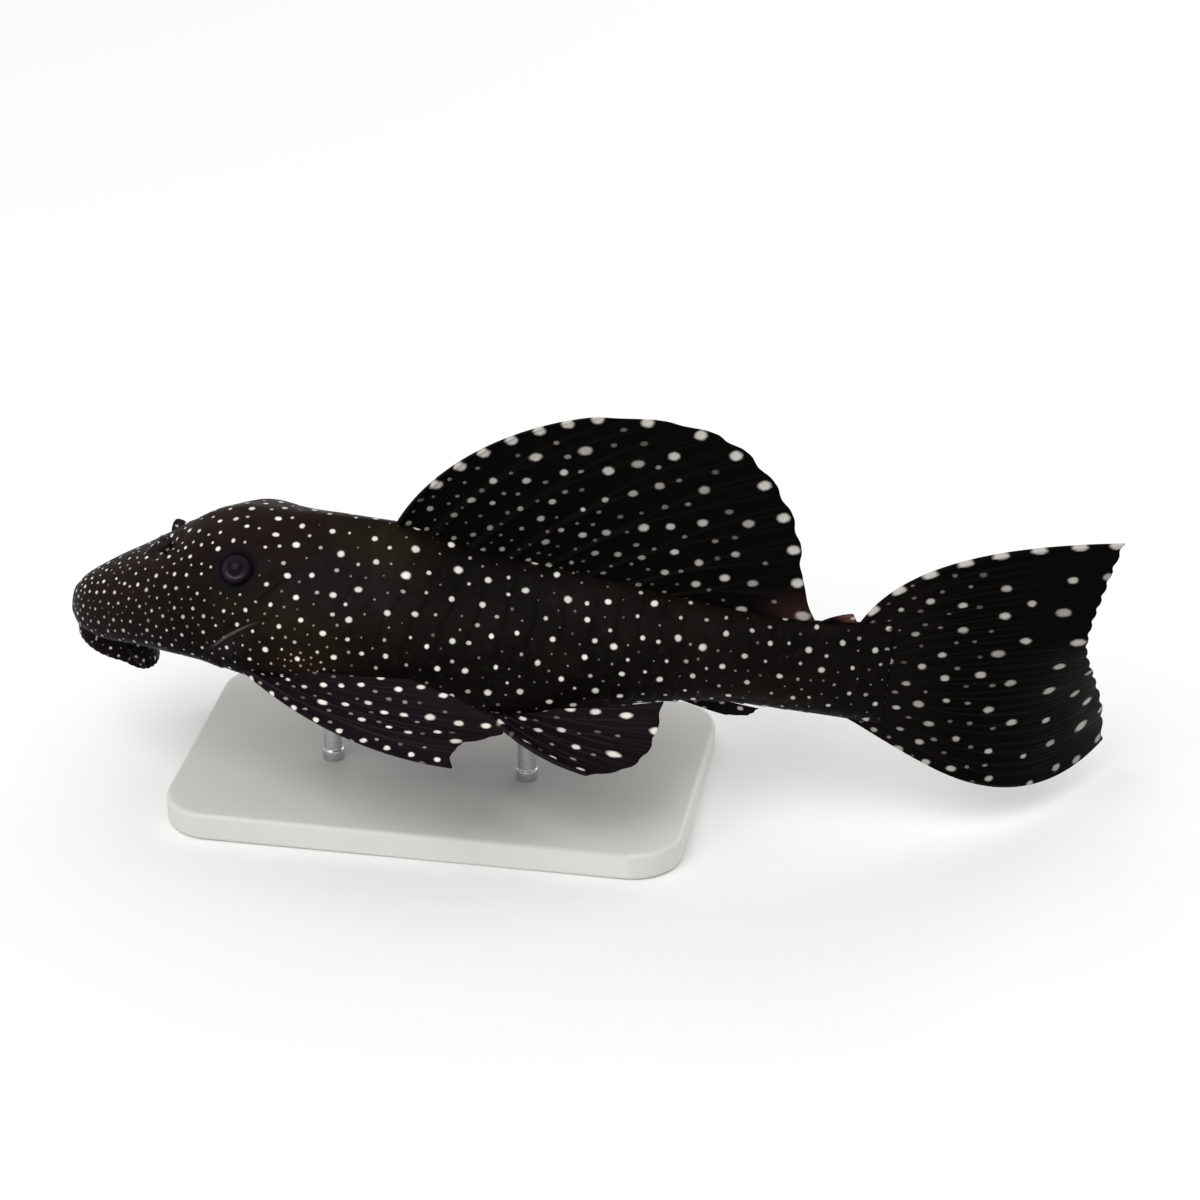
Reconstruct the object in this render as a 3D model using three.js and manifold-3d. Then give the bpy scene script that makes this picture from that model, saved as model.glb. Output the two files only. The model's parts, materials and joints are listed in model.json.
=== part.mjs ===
// A galaxy pleco, a spotted suckermouth catfish, life size, held by a plain display stand.
// Millimetres, +Z up, the head towards -X and the left side towards -Y.
// The origin is the middle of the underside of the stand's base.
import * as THREE from "three";
import { mergeVertices } from "three/addons/utils/BufferGeometryUtils.js";
import Module from "manifold-3d";

const wasm = await Module();
wasm.setup();

// Overall sizes
const GAP = 0.3; // between neighbouring pieces
const BODY_LENGTH = 189; // snout to the root of the tail fin
const BEND_RADIUS = 1071; // of the sideways bow of the whole fish
const BEND_CENTRE = 118; // where along the body the bow is deepest
const PITCH = 4.7; // degrees that the fish is tipped nose up
const MIDDLE_HEIGHT = 18; // height of the tipping axis above the fish's own zero plane
const FISH_LIFT = 31; // of that zero plane above the floor
const FISH_SHIFT = 29; // brings the fish over the middle of the base

// Where the three lengths of the body part
const NECK_TOP = 66; // rear edge of the skull roof
const NECK_LOW = 45; // rear edge of the gill cover, low on the cheek
const NECK_SLANT = [12, 84]; // degrees round from the middle of the back between which it runs forwards
const NECK_CENTRE = 51; // where the two faces of that joint meet on the body's axis
const WAIST = 128; // between trunk and tail, at the vent

// Outline of the body, each as [distance from the snout, millimetres]
const BACK_HEIGHT = [
  [0, 5], [2, 7.8], [5, 10.4], [10, 14.2], [16, 18.3], [21, 22], [28, 27.6], [36, 32.8], [44, 35.3],
  [52, 35.8], [66, 37.1], [80, 37.8], [98, 34.7], [118, 33.2], [142, 30.8], [160, 28.9], [174, 28.5],
  [189, 30],
];
const BELLY_HEIGHT = [
  [0, -3], [3, -4.4], [8, -4.4], [24, -1], [45, 0.4], [62, -1.6], [80, -2.4], [108, -2.6],
  [128, -0.4], [142, 3.4], [160, 5.4], [174, 4.9], [189, 4.1],
];
const HALF_WIDTH = [
  [0, 3], [1.2, 4.8], [2.6, 6.6], [5, 8.8], [10, 12], [18, 15.8], [30, 20], [40, 22.6], [50, 25.2],
  [64, 26], [80, 24.2], [100, 20.6], [118, 16.4], [135, 12], [150, 9], [165, 7], [178, 5.4],
  [189, 3.2],
];
const WIDEST_HEIGHT = [
  [0, 0.4], [8, 0.8], [20, 3.6], [40, 7.2], [60, 8.2], [100, 8.5], [128, 11], [150, 15], [170, 16.8],
  [189, 17],
];
const UPPER_SQUARENESS = [
  [0, 2.2], [20, 2], [34, 1.72], [48, 1.64], [62, 1.5], [76, 1.4], [110, 1.45], [140, 1.6], [170, 1.8],
  [189, 2],
];
const ELLIPSE = 2; // the squareness of a plain ellipse
const KEEL = [25, 90]; // degrees from the middle of the back, over which the section becomes one
const LOWER_SQUARENESS = [[0, 2.2], [20, 2.2], [50, 2.5], [80, 3], [110, 2.9], [140, 2.2], [189, 2]];

// Armour plates: five rows on each side, stepped like roof tiles
const PLATE_ROWS = 5;
const TRUNK_PLATES = 12;
const TAIL_PLATES = 12;
const PLATE_STEP = 0.75; // how far the rear edge of a plate stands up
const PLATE_BULGE = 0.45; // how far its middle bulges back
const SEAM_SHARE = 0.2; // of that step, along the seams between the rows
const PLATE_LAP = 0.84; // share of a plate's length where its rear edge is highest
const SLANT_FADE = 2; // how soon the plates behind the head stand upright
const END_FADE = 1 / 8; // share of a length over which the bulges fade towards its ends
const ROW_ANGLES_TRUNK = [10, 34, 56, 76, 96, 118]; // degrees round from the middle of the back
const ROW_ANGLES_TAIL = [12, 42, 72, 102, 132, 160];
const ROW_CHANGE = [104, 150]; // along the body, from the first set of angles to the second
const BELLY_COLUMNS = 4; // on each side, between the lowest row and the middle of the belly

const radians = THREE.MathUtils.degToRad;
const lerp = THREE.MathUtils.lerp;
const smooth = THREE.MathUtils.smoothstep;

// A smooth curve through the stations: a cubic between each two, level where the stations turn back.
function through(stations) {
  const slopeOf = ([x0, y0], [x1, y1]) => (y1 - y0) / (x1 - x0);
  const tangents = stations.map((station, i) => {
    if (i === 0) return slopeOf(station, stations[1]);
    if (i === stations.length - 1) return slopeOf(stations[i - 1], station);
    const before = slopeOf(stations[i - 1], station);
    const after = slopeOf(station, stations[i + 1]);
    return before * after <= 0 ? 0 : (2 * before * after) / (before + after);
  });
  return (x) => {
    let i = 0;
    while (i < stations.length - 2 && x > stations[i + 1][0]) i += 1;
    const [x0, y0] = stations[i];
    const [x1, y1] = stations[i + 1];
    const span = x1 - x0;
    const t = (x - x0) / span;
    const rise = y1 - y0;
    const leaving = tangents[i] * span - rise;
    const arriving = tangents[i + 1] * span - rise;
    return y0 + rise * t + t * (1 - t) * ((1 - t) * leaving - t * arriving);
  };
}

const backHeight = through(BACK_HEIGHT);
const bellyHeight = through(BELLY_HEIGHT);
const halfWidth = through(HALF_WIDTH);
const widestHeight = through(WIDEST_HEIGHT);
const upperSquareness = through(UPPER_SQUARENESS);
const lowerSquareness = through(LOWER_SQUARENESS);

// The bowed fish: s runs along the body, y to its right side and z up from its zero plane.
function bowed(s, y, z) {
  const turn = (s - BEND_CENTRE) / BEND_RADIUS;
  const start = BEND_CENTRE / BEND_RADIUS;
  return new THREE.Vector3(
    BEND_RADIUS * Math.sin(turn) - y * Math.sin(turn),
    BEND_RADIUS * (Math.cos(start) - Math.cos(turn)) + y * Math.cos(turn),
    z - MIDDLE_HEIGHT,
  );
}

// A point of the body's outline at s, angle degrees round from the middle of the back, raised outwards.
function skin(s, angle, raised = 0) {
  const turn = radians(angle);
  const side = Math.sign(Math.sin(turn));
  const across = Math.abs(Math.sin(turn));
  const along = Math.abs(Math.cos(turn));
  const middle = widestHeight(s);
  const upper = Math.cos(turn) >= 0;
  const above = lerp(upperSquareness(s), ELLIPSE, smooth(Math.abs(angle), ...KEEL));
  const power = 2 / (upper ? above : lowerSquareness(s));
  const reach = upper ? backHeight(s) - middle : bellyHeight(s) - middle;
  const y = side * halfWidth(s) * across ** power;
  const z = reach * along ** power;
  const far = Math.hypot(y, z) || 1;
  const grow = 1 + raised / far;
  return [s, y * grow, middle + z * grow];
}

const PLATE_SEAMS = ROW_ANGLES_TRUNK.length;

// Angles of the columns round one side at s: the seams and middles of the plate rows, then the belly.
function columnAngles(s) {
  const share = smooth(s, ...ROW_CHANGE);
  const seams = ROW_ANGLES_TRUNK.map((angle, i) => lerp(angle, ROW_ANGLES_TAIL[i], share));
  const angles = [0, seams[0]];
  for (let i = 1; i < PLATE_SEAMS; i += 1) angles.push((seams[i - 1] + seams[i]) / 2, seams[i]);
  const last = seams[PLATE_SEAMS - 1];
  for (let i = 1; i <= BELLY_COLUMNS; i += 1) angles.push(lerp(last, 180, i / BELLY_COLUMNS));
  return angles;
}

const SIDE_COLUMNS = columnAngles(0).length - 1;
const RING = 2 * SIDE_COLUMNS;

// Column j of a ring: its angle round the body, and how much of a plate's middle it is.
function column(s, j) {
  const index = j <= SIDE_COLUMNS ? j : RING - j;
  const angle = columnAngles(s)[index];
  const inRows = index >= 1 && index <= 2 * PLATE_ROWS + 1;
  const crown = inRows && index % 2 === 0 ? 1 : 0;
  return { angle: j <= SIDE_COLUMNS ? angle : -angle, crown, inRows };
}

// Where the head ends, further back on the skull roof than on the cheek.
function neckAt(angle) {
  const round = Math.abs(angle);
  return lerp(NECK_TOP, NECK_LOW, smooth(round, ...NECK_SLANT));
}

// Join rings of points into one closed body with a cone of faces at each end.
function closedLoft(rings, startPoint, endPoint) {
  const points = [startPoint, ...rings.flat(), endPoint];
  const around = rings[0].length;
  const faces = [];
  const at = (i, j) => 1 + i * around + ((j + around) % around);
  for (let j = 0; j < around; j += 1) {
    faces.push(0, at(0, j + 1), at(0, j));
    faces.push(points.length - 1, at(rings.length - 1, j), at(rings.length - 1, j + 1));
    for (let i = 0; i < rings.length - 1; i += 1) {
      faces.push(at(i, j), at(i, j + 1), at(i + 1, j));
      faces.push(at(i, j + 1), at(i + 1, j + 1), at(i + 1, j));
    }
  }
  return solid(points, faces);
}

// A closed geometry from points and corners, turned the right way out.
function solid(points, faces) {
  const geometry = new THREE.BufferGeometry();
  const numbers = points.flatMap((point) => point.toArray());
  geometry.setAttribute("position", new THREE.Float32BufferAttribute(numbers, 3));
  geometry.setIndex(faces);
  const merged = mergeVertices(geometry, 1e-4);
  return volumeOf(merged) < 0 ? reversed(merged) : merged;
}

function volumeOf(geometry) {
  const position = geometry.getAttribute("position");
  const [a, b, c] = [new THREE.Vector3(), new THREE.Vector3(), new THREE.Vector3()];
  let sum = 0;
  for (let i = 0; i < geometry.index.count; i += 3) {
    a.fromBufferAttribute(position, geometry.index.getX(i));
    b.fromBufferAttribute(position, geometry.index.getX(i + 1));
    c.fromBufferAttribute(position, geometry.index.getX(i + 2));
    sum += a.dot(b.cross(c)) / 6;
  }
  return sum;
}

function reversed(geometry) {
  const index = Array.from(geometry.index.array);
  for (let i = 0; i < index.length; i += 3) [index[i + 1], index[i + 2]] = [index[i + 2], index[i + 1]];
  geometry.setIndex(index);
  return geometry;
}

// Booleans: geometry to solid, joined or cut, and back with only the largest closed surface.
function manifoldOf(geometry) {
  const bare = geometry.clone();
  for (const name of Object.keys(bare.attributes)) if (name !== "position") bare.deleteAttribute(name);
  const merged = mergeVertices(bare, 1e-4);
  return new wasm.Manifold(
    new wasm.Mesh({
      numProp: 3,
      vertProperties: new Float32Array(merged.attributes.position.array),
      triVerts: new Uint32Array(merged.index.array),
    }),
  );
}

function geometryOf(shape) {
  const largest = shape.decompose().sort((a, b) => b.volume() - a.volume())[0];
  const mesh = largest.getMesh();
  const geometry = new THREE.BufferGeometry();
  geometry.setAttribute("position", new THREE.BufferAttribute(new Float32Array(mesh.vertProperties), 3));
  geometry.setIndex(new THREE.BufferAttribute(new Uint32Array(mesh.triVerts), 1));
  return geometry;
}

function joined(first, ...others) {
  return geometryOf(others.reduce((whole, next) => whole.add(manifoldOf(next)), manifoldOf(first)));
}

function cutBy(first, ...others) {
  return geometryOf(others.reduce((whole, next) => whole.subtract(manifoldOf(next)), manifoldOf(first)));
}

// A ball stretched along the fish's own three directions, at a place on or in the body.
const BALL_SIDES = 14;
const SMALL_SIDES = 12; // of the smallest ones
const BALL_RINGS = 8;
function ball([s, y, z], [along, across, up], sides = BALL_SIDES) {
  const geometry = new THREE.SphereGeometry(1, sides, BALL_RINGS);
  geometry.scale(along, across, up);
  geometry.rotateZ((s - BEND_CENTRE) / BEND_RADIUS);
  const centre = bowed(s, y, z);
  geometry.translate(centre.x, centre.y, centre.z);
  return geometry;
}

// Head
const SNOUT_RINGS = 30;
const SNOUT_CROWDING = 1.35; // power by which its rings crowd towards the tip
const SNOUT_TIP = [-0.5, 0, 0.8];
const EYE = { along: 45, across: 14.2, height: 25.6, radius: 4.1 };
const ORBIT_RIM = { radius: 4.5, thickness: 0.9, out: 1.1, up: 0.9, facing: [0.05, 0.8, 0.6], sides: 18 };
const RIM_SIDES = 6; // of the rim's own section
const NOSTRIL = { along: 23.4, angle: 16, sunk: 0.5, long: 2.6, wide: 1.9, deep: 1.8 };
const NOSTRIL_FLAP = { tall: 2.9, wide: 1.7, thick: 0.95, lean: 24, splay: 14, back: 0.2, rise: 1.3 };
const LIP_DISC = { along: 11, height: -4.3, long: 9.5, wide: 8.9, sides: 28 };
const LIP_SAG = { drop: 4.6, flap: 3.2, flapFrom: 0.35 }; // of the whole disc to the rear, and of its rear flap
const BARBEL = { along: 17.2, across: 7, height: -6.2, length: 6, radius: 1, sunk: 1, droop: 28, splay: 24 };
const BARBEL_SIDES = 7;

// Swellings of the head: where each is highest, its height and its spread, in millimetres and degrees.
const SWELLINGS = [
  { name: "brow", s: 45, angle: 30, height: 1.3, long: 8, wide: 10 },
  { name: "cheek", s: 34, angle: 82, height: 1, long: 10, wide: 22 },
  { name: "dip round the nostril", s: 25, angle: 22, height: -0.9, long: 4, wide: 12 },
];
const GILL_EDGE = { height: 0.8, long: 7, angles: [20, 50] }; // the raised rear edge of the gill cover

// The snout's rings lie closer together at its rounded tip.
function snoutShare(i) {
  return (i / SNOUT_RINGS) ** SNOUT_CROWDING;
}

function skull(clear = 0) {
  const rings = [];
  for (let i = 0; i <= SNOUT_RINGS; i += 1) {
    const ring = [];
    for (let j = 0; j < RING; j += 1) {
      const { angle } = column(0, j);
      const s = neckAt(angle) * snoutShare(i);
      ring.push(bowed(...skin(s, angle, headRelief(s, angle) + clear)));
    }
    rings.push(ring);
  }
  return closedLoft(rings, bowed(...SNOUT_TIP), bowed(NECK_CENTRE, 0, MIDDLE_HEIGHT));
}

function headRelief(s, angle) {
  const round = Math.abs(angle);
  let height = 0;
  for (const swelling of SWELLINGS) {
    const away = ((s - swelling.s) / swelling.long) ** 2 + ((round - swelling.angle) / swelling.wide) ** 2;
    height += swelling.height * Math.exp(-away);
  }
  const edge = neckAt(angle);
  const nearEdge = smooth(s, edge - GILL_EDGE.long, edge) * smooth(round, ...GILL_EDGE.angles);
  return height + GILL_EDGE.height * nearEdge;
}

function orbitRim(side) {
  const rim = new THREE.TorusGeometry(ORBIT_RIM.radius, ORBIT_RIM.thickness, RIM_SIDES, ORBIT_RIM.sides);
  const [ahead, out, up] = ORBIT_RIM.facing;
  rim.lookAt(new THREE.Vector3(ahead, side * out, up));
  const centre = bowed(EYE.along, side * (EYE.across + ORBIT_RIM.out), EYE.height + ORBIT_RIM.up);
  rim.translate(centre.x, centre.y, centre.z);
  return rim;
}

function nostrilPlace(side) {
  return skin(NOSTRIL.along, side * NOSTRIL.angle, -NOSTRIL.sunk);
}

// The flap between the two openings of a nostril: a small leaf, leaning back.
function nostrilFlap(side) {
  const [s, y, z] = nostrilPlace(side);
  const leaf = new THREE.SphereGeometry(1, SMALL_SIDES, BALL_RINGS);
  leaf.scale(NOSTRIL_FLAP.thick, NOSTRIL_FLAP.wide, NOSTRIL_FLAP.tall);
  leaf.rotateY(radians(NOSTRIL_FLAP.lean));
  leaf.rotateX(radians(-side * NOSTRIL_FLAP.splay));
  const centre = bowed(s + NOSTRIL_FLAP.back, y, z + NOSTRIL_FLAP.rise);
  leaf.translate(centre.x, centre.y, centre.z);
  return leaf;
}

// The hanging lip disc: [share of its radius, height from its root], down the outside, then up to the mouth.
const LIP_PROFILE = [
  [0.8, 7], [0.9, 1.8], [0.98, -0.7], [1.03, -2.2], [1, -3.3], [0.88, -3.5], [0.7, -2.3], [0.48, -1.5],
  [0.4, -1.7], [0.28, -0.4],
];
const LIP_TOP = 7.4; // closes the disc inside the snout
const THROAT = 0.6; // closes the mouth opening at its depth

function lipDisc() {
  const rings = LIP_PROFILE.map(([share, height]) => {
    const ring = [];
    for (let j = 0; j < LIP_DISC.sides; j += 1) {
      const turn = (2 * Math.PI * j) / LIP_DISC.sides;
      const s = LIP_DISC.along + share * LIP_DISC.long * Math.cos(turn);
      const y = share * LIP_DISC.wide * Math.sin(turn);
      const flap = LIP_SAG.flap * smooth(Math.cos(turn), LIP_SAG.flapFrom, 1);
      const sag = (LIP_SAG.drop * (s - LIP_DISC.along)) / (2 * LIP_DISC.long) + flap;
      ring.push(bowed(s, y, LIP_DISC.height + height - Math.min(1, share) * sag));
    }
    return ring;
  });
  const inside = bowed(LIP_DISC.along, 0, LIP_DISC.height + LIP_TOP);
  const throat = bowed(LIP_DISC.along, 0, LIP_DISC.height + THROAT);
  return closedLoft(rings, inside, throat);
}

function barbel(side) {
  const cone = new THREE.ConeGeometry(BARBEL.radius, BARBEL.length, BARBEL_SIDES, 1);
  cone.rotateZ(radians(-90));
  cone.translate(BARBEL.length / 2 - BARBEL.sunk, 0, 0);
  cone.rotateY(radians(BARBEL.droop));
  cone.rotateZ(radians(side * BARBEL.splay));
  const root = bowed(BARBEL.along, side * BARBEL.across, BARBEL.height);
  cone.translate(root.x, root.y, root.z);
  return cone;
}

function head() {
  const sides = [-1, 1];
  const grown = joined(skull(), lipDisc(), ...sides.map(barbel), ...sides.map(orbitRim));
  const sockets = sides.map((side) => {
    const place = [EYE.along, side * EYE.across, EYE.height];
    const room = EYE.radius + GAP;
    return ball(place, [room, room, room]);
  });
  const pitSize = [NOSTRIL.long, NOSTRIL.wide, NOSTRIL.deep];
  const pits = sides.map((side) => ball(nostrilPlace(side), pitSize, SMALL_SIDES));
  return joined(cutBy(grown, ...sockets, ...pits), ...sides.map(nostrilFlap));
}

function eye(side) {
  return ball([EYE.along, side * EYE.across, EYE.height], [EYE.radius, EYE.radius, EYE.radius]);
}

const TAIL_POINT = 0.8; // how far the middle of the tail's end stands behind its rim
const TAIL_MIDDLE = (backHeight(BODY_LENGTH) + bellyHeight(BODY_LENGTH)) / 2;

// Trunk and tail: each plate has a low ring at its front, and one near its rear edge, which stands up.
function plateRelief(inPlate, crown, inRows) {
  if (!inRows) return 0;
  const tile = inPlate <= PLATE_LAP ? inPlate / PLATE_LAP : 0;
  return PLATE_STEP * tile * lerp(SEAM_SHARE, 1, crown);
}

function armoured(plates, startAt, endAt, startCentre, endCentre, clear = 0) {
  const rings = [];
  const addRing = (plate, inPlate) => {
    const share = (plate + inPlate) / plates;
    const ring = [];
    for (let j = 0; j < RING; j += 1) {
      const level = lerp(startAt(90), endAt, share);
      const slant = startAt(column(level, j).angle) - startAt(90);
      const s0 = level + slant * (1 - share) ** SLANT_FADE;
      const { angle, crown, inRows } = column(s0, j);
      const fade = Math.min(1, share / END_FADE, (1 - share) / END_FADE);
      const s = s0 + (crown - 0.5) * (inRows ? PLATE_BULGE : 0) * fade;
      ring.push(bowed(...skin(s, angle, plateRelief(inPlate, crown, inRows) + clear)));
    }
    rings.push(ring);
  };
  for (let plate = 0; plate < plates; plate += 1) {
    addRing(plate, 0);
    addRing(plate, PLATE_LAP);
  }
  addRing(plates, 0);
  return closedLoft(rings, startCentre, endCentre);
}

function trunk(clear = 0) {
  const start = bowed(NECK_CENTRE + GAP, 0, MIDDLE_HEIGHT);
  const end = bowed(WAIST - GAP / 2, 0, MIDDLE_HEIGHT);
  return armoured(TRUNK_PLATES, (angle) => neckAt(angle) + GAP, WAIST - GAP / 2, start, end, clear);
}

function tail() {
  const start = bowed(WAIST + GAP / 2, 0, MIDDLE_HEIGHT);
  const end = bowed(BODY_LENGTH + TAIL_POINT, 0, TAIL_MIDDLE);
  return armoured(TAIL_PLATES, () => WAIST + GAP / 2, BODY_LENGTH, start, end);
}

// Fins
const MEMBRANE = 0.56; // thickness between the rays
const FIN_EDGE = 0.5; // thickness at the free edge
const TIP_NOTCH = 0.045; // share of a ray's length by which the membrane ends short of the tips
// How far a ray's branch lies from it, in shares of the way to the next ray, at the root and more at the tip
const RAY_FORK = { root: 0.07, spread: 0.2 };
const SPINE_BACK = { root: 0.11, spread: 0.05 }; // likewise the rear edge of the leading spine
const SPINE_FRONT_RIDGE = 0.55; // how much of the spine's thickness its front edge keeps
const RAY_TAPER = 0.8; // power by which a ray thins towards its tip

// A ray in the body's middle plane: root and tip as [s, z], leaving and arriving at angles to the chord.
function flatRay(root, tip, bendRoot, bendTip) {
  const [s0, z0] = root;
  const [s1, z1] = tip;
  const third = Math.hypot(s1 - s0, z1 - z0) / 3;
  const chord = Math.atan2(z1 - z0, s1 - s0);
  const leave = chord + radians(bendRoot);
  const arrive = chord - radians(bendTip);
  const curve = new THREE.CubicBezierCurve(
    new THREE.Vector2(s0, z0),
    new THREE.Vector2(s0 + third * Math.cos(leave), z0 + third * Math.sin(leave)),
    new THREE.Vector2(s1 - third * Math.cos(arrive), z1 - third * Math.sin(arrive)),
    new THREE.Vector2(s1, z1),
  );
  return (u) => {
    const point = curve.getPoint(u);
    return new THREE.Vector3(point.x, 0, point.y);
  };
}

// The curves through a middle fin's tips and bends, by the number of the ray.
function flatCurves({ tipAlong, tipHeights, bendRoot, bendTip }) {
  return {
    tipS: through(tipAlong),
    tipZ: through(tipHeights),
    bendRoot: through(bendRoot),
    bendTip: through(bendTip),
  };
}

// A fin is a sheet over its rays: each ray forks into two branches that stand up as ridges.
function fin({ rays, rows, rootThickness, tipThickness, spineThickness, place }) {
  const last = rays.length - 1;
  const columns = [];
  rays.forEach((ray, k) => {
    const fork = (u) => RAY_FORK.root + RAY_FORK.spread * u;
    const branch = (neighbour) => ({ from: k, to: neighbour, mix: fork, ridge: 1, reach: 1 });
    const spine = k === 0;
    if (spine) {
      const back = (u) => SPINE_BACK.root + SPINE_BACK.spread * u;
      columns.push({ from: 0, to: 1, mix: () => 0, ridge: SPINE_FRONT_RIDGE, reach: 1, spine });
      columns.push({ from: 0, to: 1, mix: back, ridge: 1, reach: 1, spine });
    } else {
      columns.push(branch(k - 1));
      if (k < last) columns.push(branch(k + 1));
    }
    if (k < last) columns.push({ from: k, to: k + 1, mix: () => 0.5, ridge: 0, reach: 1 - TIP_NOTCH });
  });
  const middle = (i, j) => {
    const { from, to, mix, reach } = columns[j];
    const u = (i / rows) * reach;
    return place(rays[from](u).lerp(rays[to](u), mix(i / rows)), u);
  };
  const grid = [];
  for (let i = 0; i <= rows; i += 1) grid.push(columns.map((_, j) => middle(i, j)));
  const thicknessAt = (i, { ridge, spine }) => {
    const u = i / rows;
    const root = spine ? spineThickness : rootThickness;
    const ray = lerp(root, tipThickness, u ** RAY_TAPER);
    const edge = i === rows ? FIN_EDGE / Math.max(FIN_EDGE, ray) : 1;
    return lerp(Math.min(MEMBRANE, ray), ray, ridge) * edge;
  };
  return sheet(grid, (i, j) => Math.max(FIN_EDGE, thicknessAt(i, columns[j])));
}

// A closed sheet over a grid of points, split into like triangles on both faces.
function sheet(grid, thickness) {
  const rows = grid.length;
  const columns = grid[0].length;
  const points = [];
  for (const side of [-1, 1]) {
    for (let i = 0; i < rows; i += 1) {
      for (let j = 0; j < columns; j += 1) {
        const along = grid[Math.min(i + 1, rows - 1)][j].clone().sub(grid[Math.max(i - 1, 0)][j]);
        const across = grid[i][Math.min(j + 1, columns - 1)].clone().sub(grid[i][Math.max(j - 1, 0)]);
        const normal = along.cross(across).normalize();
        points.push(grid[i][j].clone().addScaledVector(normal, (side * thickness(i, j)) / 2));
      }
    }
  }
  const at = (side, i, j) => side * rows * columns + i * columns + j;
  const faces = [];
  const quad = (a, b, c, d) => faces.push(a, b, c, a, c, d);
  for (let i = 0; i < rows - 1; i += 1) {
    for (let j = 0; j < columns - 1; j += 1) {
      quad(at(0, i, j), at(0, i, j + 1), at(0, i + 1, j + 1), at(0, i + 1, j));
      faces.push(at(1, i, j), at(1, i + 1, j + 1), at(1, i, j + 1));
      faces.push(at(1, i, j), at(1, i + 1, j), at(1, i + 1, j + 1));
    }
  }
  for (let j = 0; j < columns - 1; j += 1) {
    quad(at(0, 0, j), at(1, 0, j), at(1, 0, j + 1), at(0, 0, j + 1));
    quad(at(0, rows - 1, j + 1), at(1, rows - 1, j + 1), at(1, rows - 1, j), at(0, rows - 1, j));
  }
  for (let i = 0; i < rows - 1; i += 1) {
    quad(at(0, i + 1, 0), at(1, i + 1, 0), at(1, i, 0), at(0, i, 0));
    const j = columns - 1;
    quad(at(0, i, j), at(1, i, j), at(1, i + 1, j), at(0, i + 1, j));
  }
  return solid(points, faces);
}

// A ray that lies along the back or belly, a gap clear of it.
function lyingRay(from, to, height) {
  return (u) => {
    const s = lerp(from, to, u);
    return new THREE.Vector3(s, 0, height(s));
  };
}

const inBow = (point) => bowed(point.x, point.y, point.z);

const DORSAL = {
  rays: 8,
  firstRoot: 77.5,
  lastRoot: 141,
  tipAlong: [[0, 123.5], [1, 137], [2, 149.3], [3, 157.6], [4, 164.5], [5, 169.4], [6, 172.2], [7, 173.6]],
  tipHeights: [[0, 72.8], [1, 74.2], [2, 73], [3, 69.2], [4, 62.6], [5, 55], [6, 47], [7, 38.5]],
  bendRoot: [[0, 29.5], [1, 21], [3, 13], [5, 8], [7, 2]],
  bendTip: [[0, 25], [1, 20], [3, 14], [5, 8], [7, 3]],
  membraneStart: 145, // of the membrane's lower edge behind the last ray, along the back
  membraneEnd: 178,
};

function dorsalFin() {
  const { tipS, tipZ, bendRoot, bendTip } = flatCurves(DORSAL);
  const rays = [];
  for (let k = 0; k < DORSAL.rays; k += 1) {
    const s = lerp(DORSAL.firstRoot, DORSAL.lastRoot, k / (DORSAL.rays - 1));
    rays.push(flatRay([s, backHeight(s) + GAP], [tipS(k), tipZ(k)], bendRoot(k), bendTip(k)));
  }
  rays.push(lyingRay(DORSAL.membraneStart, DORSAL.membraneEnd, (s) => backHeight(s) + GAP));
  return fin({ rays, rows: 14, rootThickness: 1.3, tipThickness: 0.75, spineThickness: 2.4, place: inBow });
}

const ADIPOSE = { root: 177, rearRoot: 179.5, tip: [185.8, 31.8], end: 188, bends: [20, 14] };

function adiposeFin() {
  const rays = [
    flatRay([ADIPOSE.root, backHeight(ADIPOSE.root) + GAP], ADIPOSE.tip, ...ADIPOSE.bends),
    lyingRay(ADIPOSE.rearRoot, ADIPOSE.end, (s) => backHeight(s) + GAP),
  ];
  return fin({ rays, rows: 7, rootThickness: 1, tipThickness: 0.6, spineThickness: 1.9, place: inBow });
}

const CAUDAL = {
  rays: 16,
  topRoot: 29.6,
  lowRoot: 4.4,
  tipAlong: [[0, 244.5], [3, 242], [7, 240], [11, 245.5], [13, 249.5], [15, 251.5]],
  tipHeights: [[0, 57.5], [3, 45.5], [7, 31.5], [11, 12.5], [13, 0.5], [15, -10.7]],
  bendRoot: [[0, 38.5], [2, 21], [5, 8], [8, 0], [12, -10], [15, -15.5]],
  bendTip: [[0, 18.5], [2, 11], [5, 4], [8, 0], [12, -14], [15, -37]],
  curl: 29, // how far the lower tip swings to the right
  curlFrom: 0.42, // share of the way down the fin where the swing begins
  curlStart: 0.35, // share of a ray's length where it begins
  curlGrowth: 2,
};

function caudalFin() {
  const { tipS, tipZ, bendRoot, bendTip } = flatCurves(CAUDAL);
  const last = CAUDAL.rays - 1;
  const rays = [];
  for (let k = 0; k <= last; k += 1) {
    const share = k / last;
    const z = lerp(CAUDAL.topRoot, CAUDAL.lowRoot, share);
    const inwards = 1 - Math.abs(z - TAIL_MIDDLE) / (backHeight(BODY_LENGTH) - TAIL_MIDDLE);
    const s = BODY_LENGTH + GAP + TAIL_POINT * inwards;
    const flat = flatRay([s, z], [tipS(k), tipZ(k)], bendRoot(k), bendTip(k));
    const swing = CAUDAL.curl * smooth(share, CAUDAL.curlFrom, 1);
    rays.push((u) => {
      const point = flat(u);
      const bent = Math.max(0, u - CAUDAL.curlStart) / (1 - CAUDAL.curlStart);
      point.y = swing * bent ** CAUDAL.curlGrowth;
      return point;
    });
  }
  return fin({ rays, rows: 12, rootThickness: 1.5, tipThickness: 0.7, spineThickness: 2.2, place: inBow });
}

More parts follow.
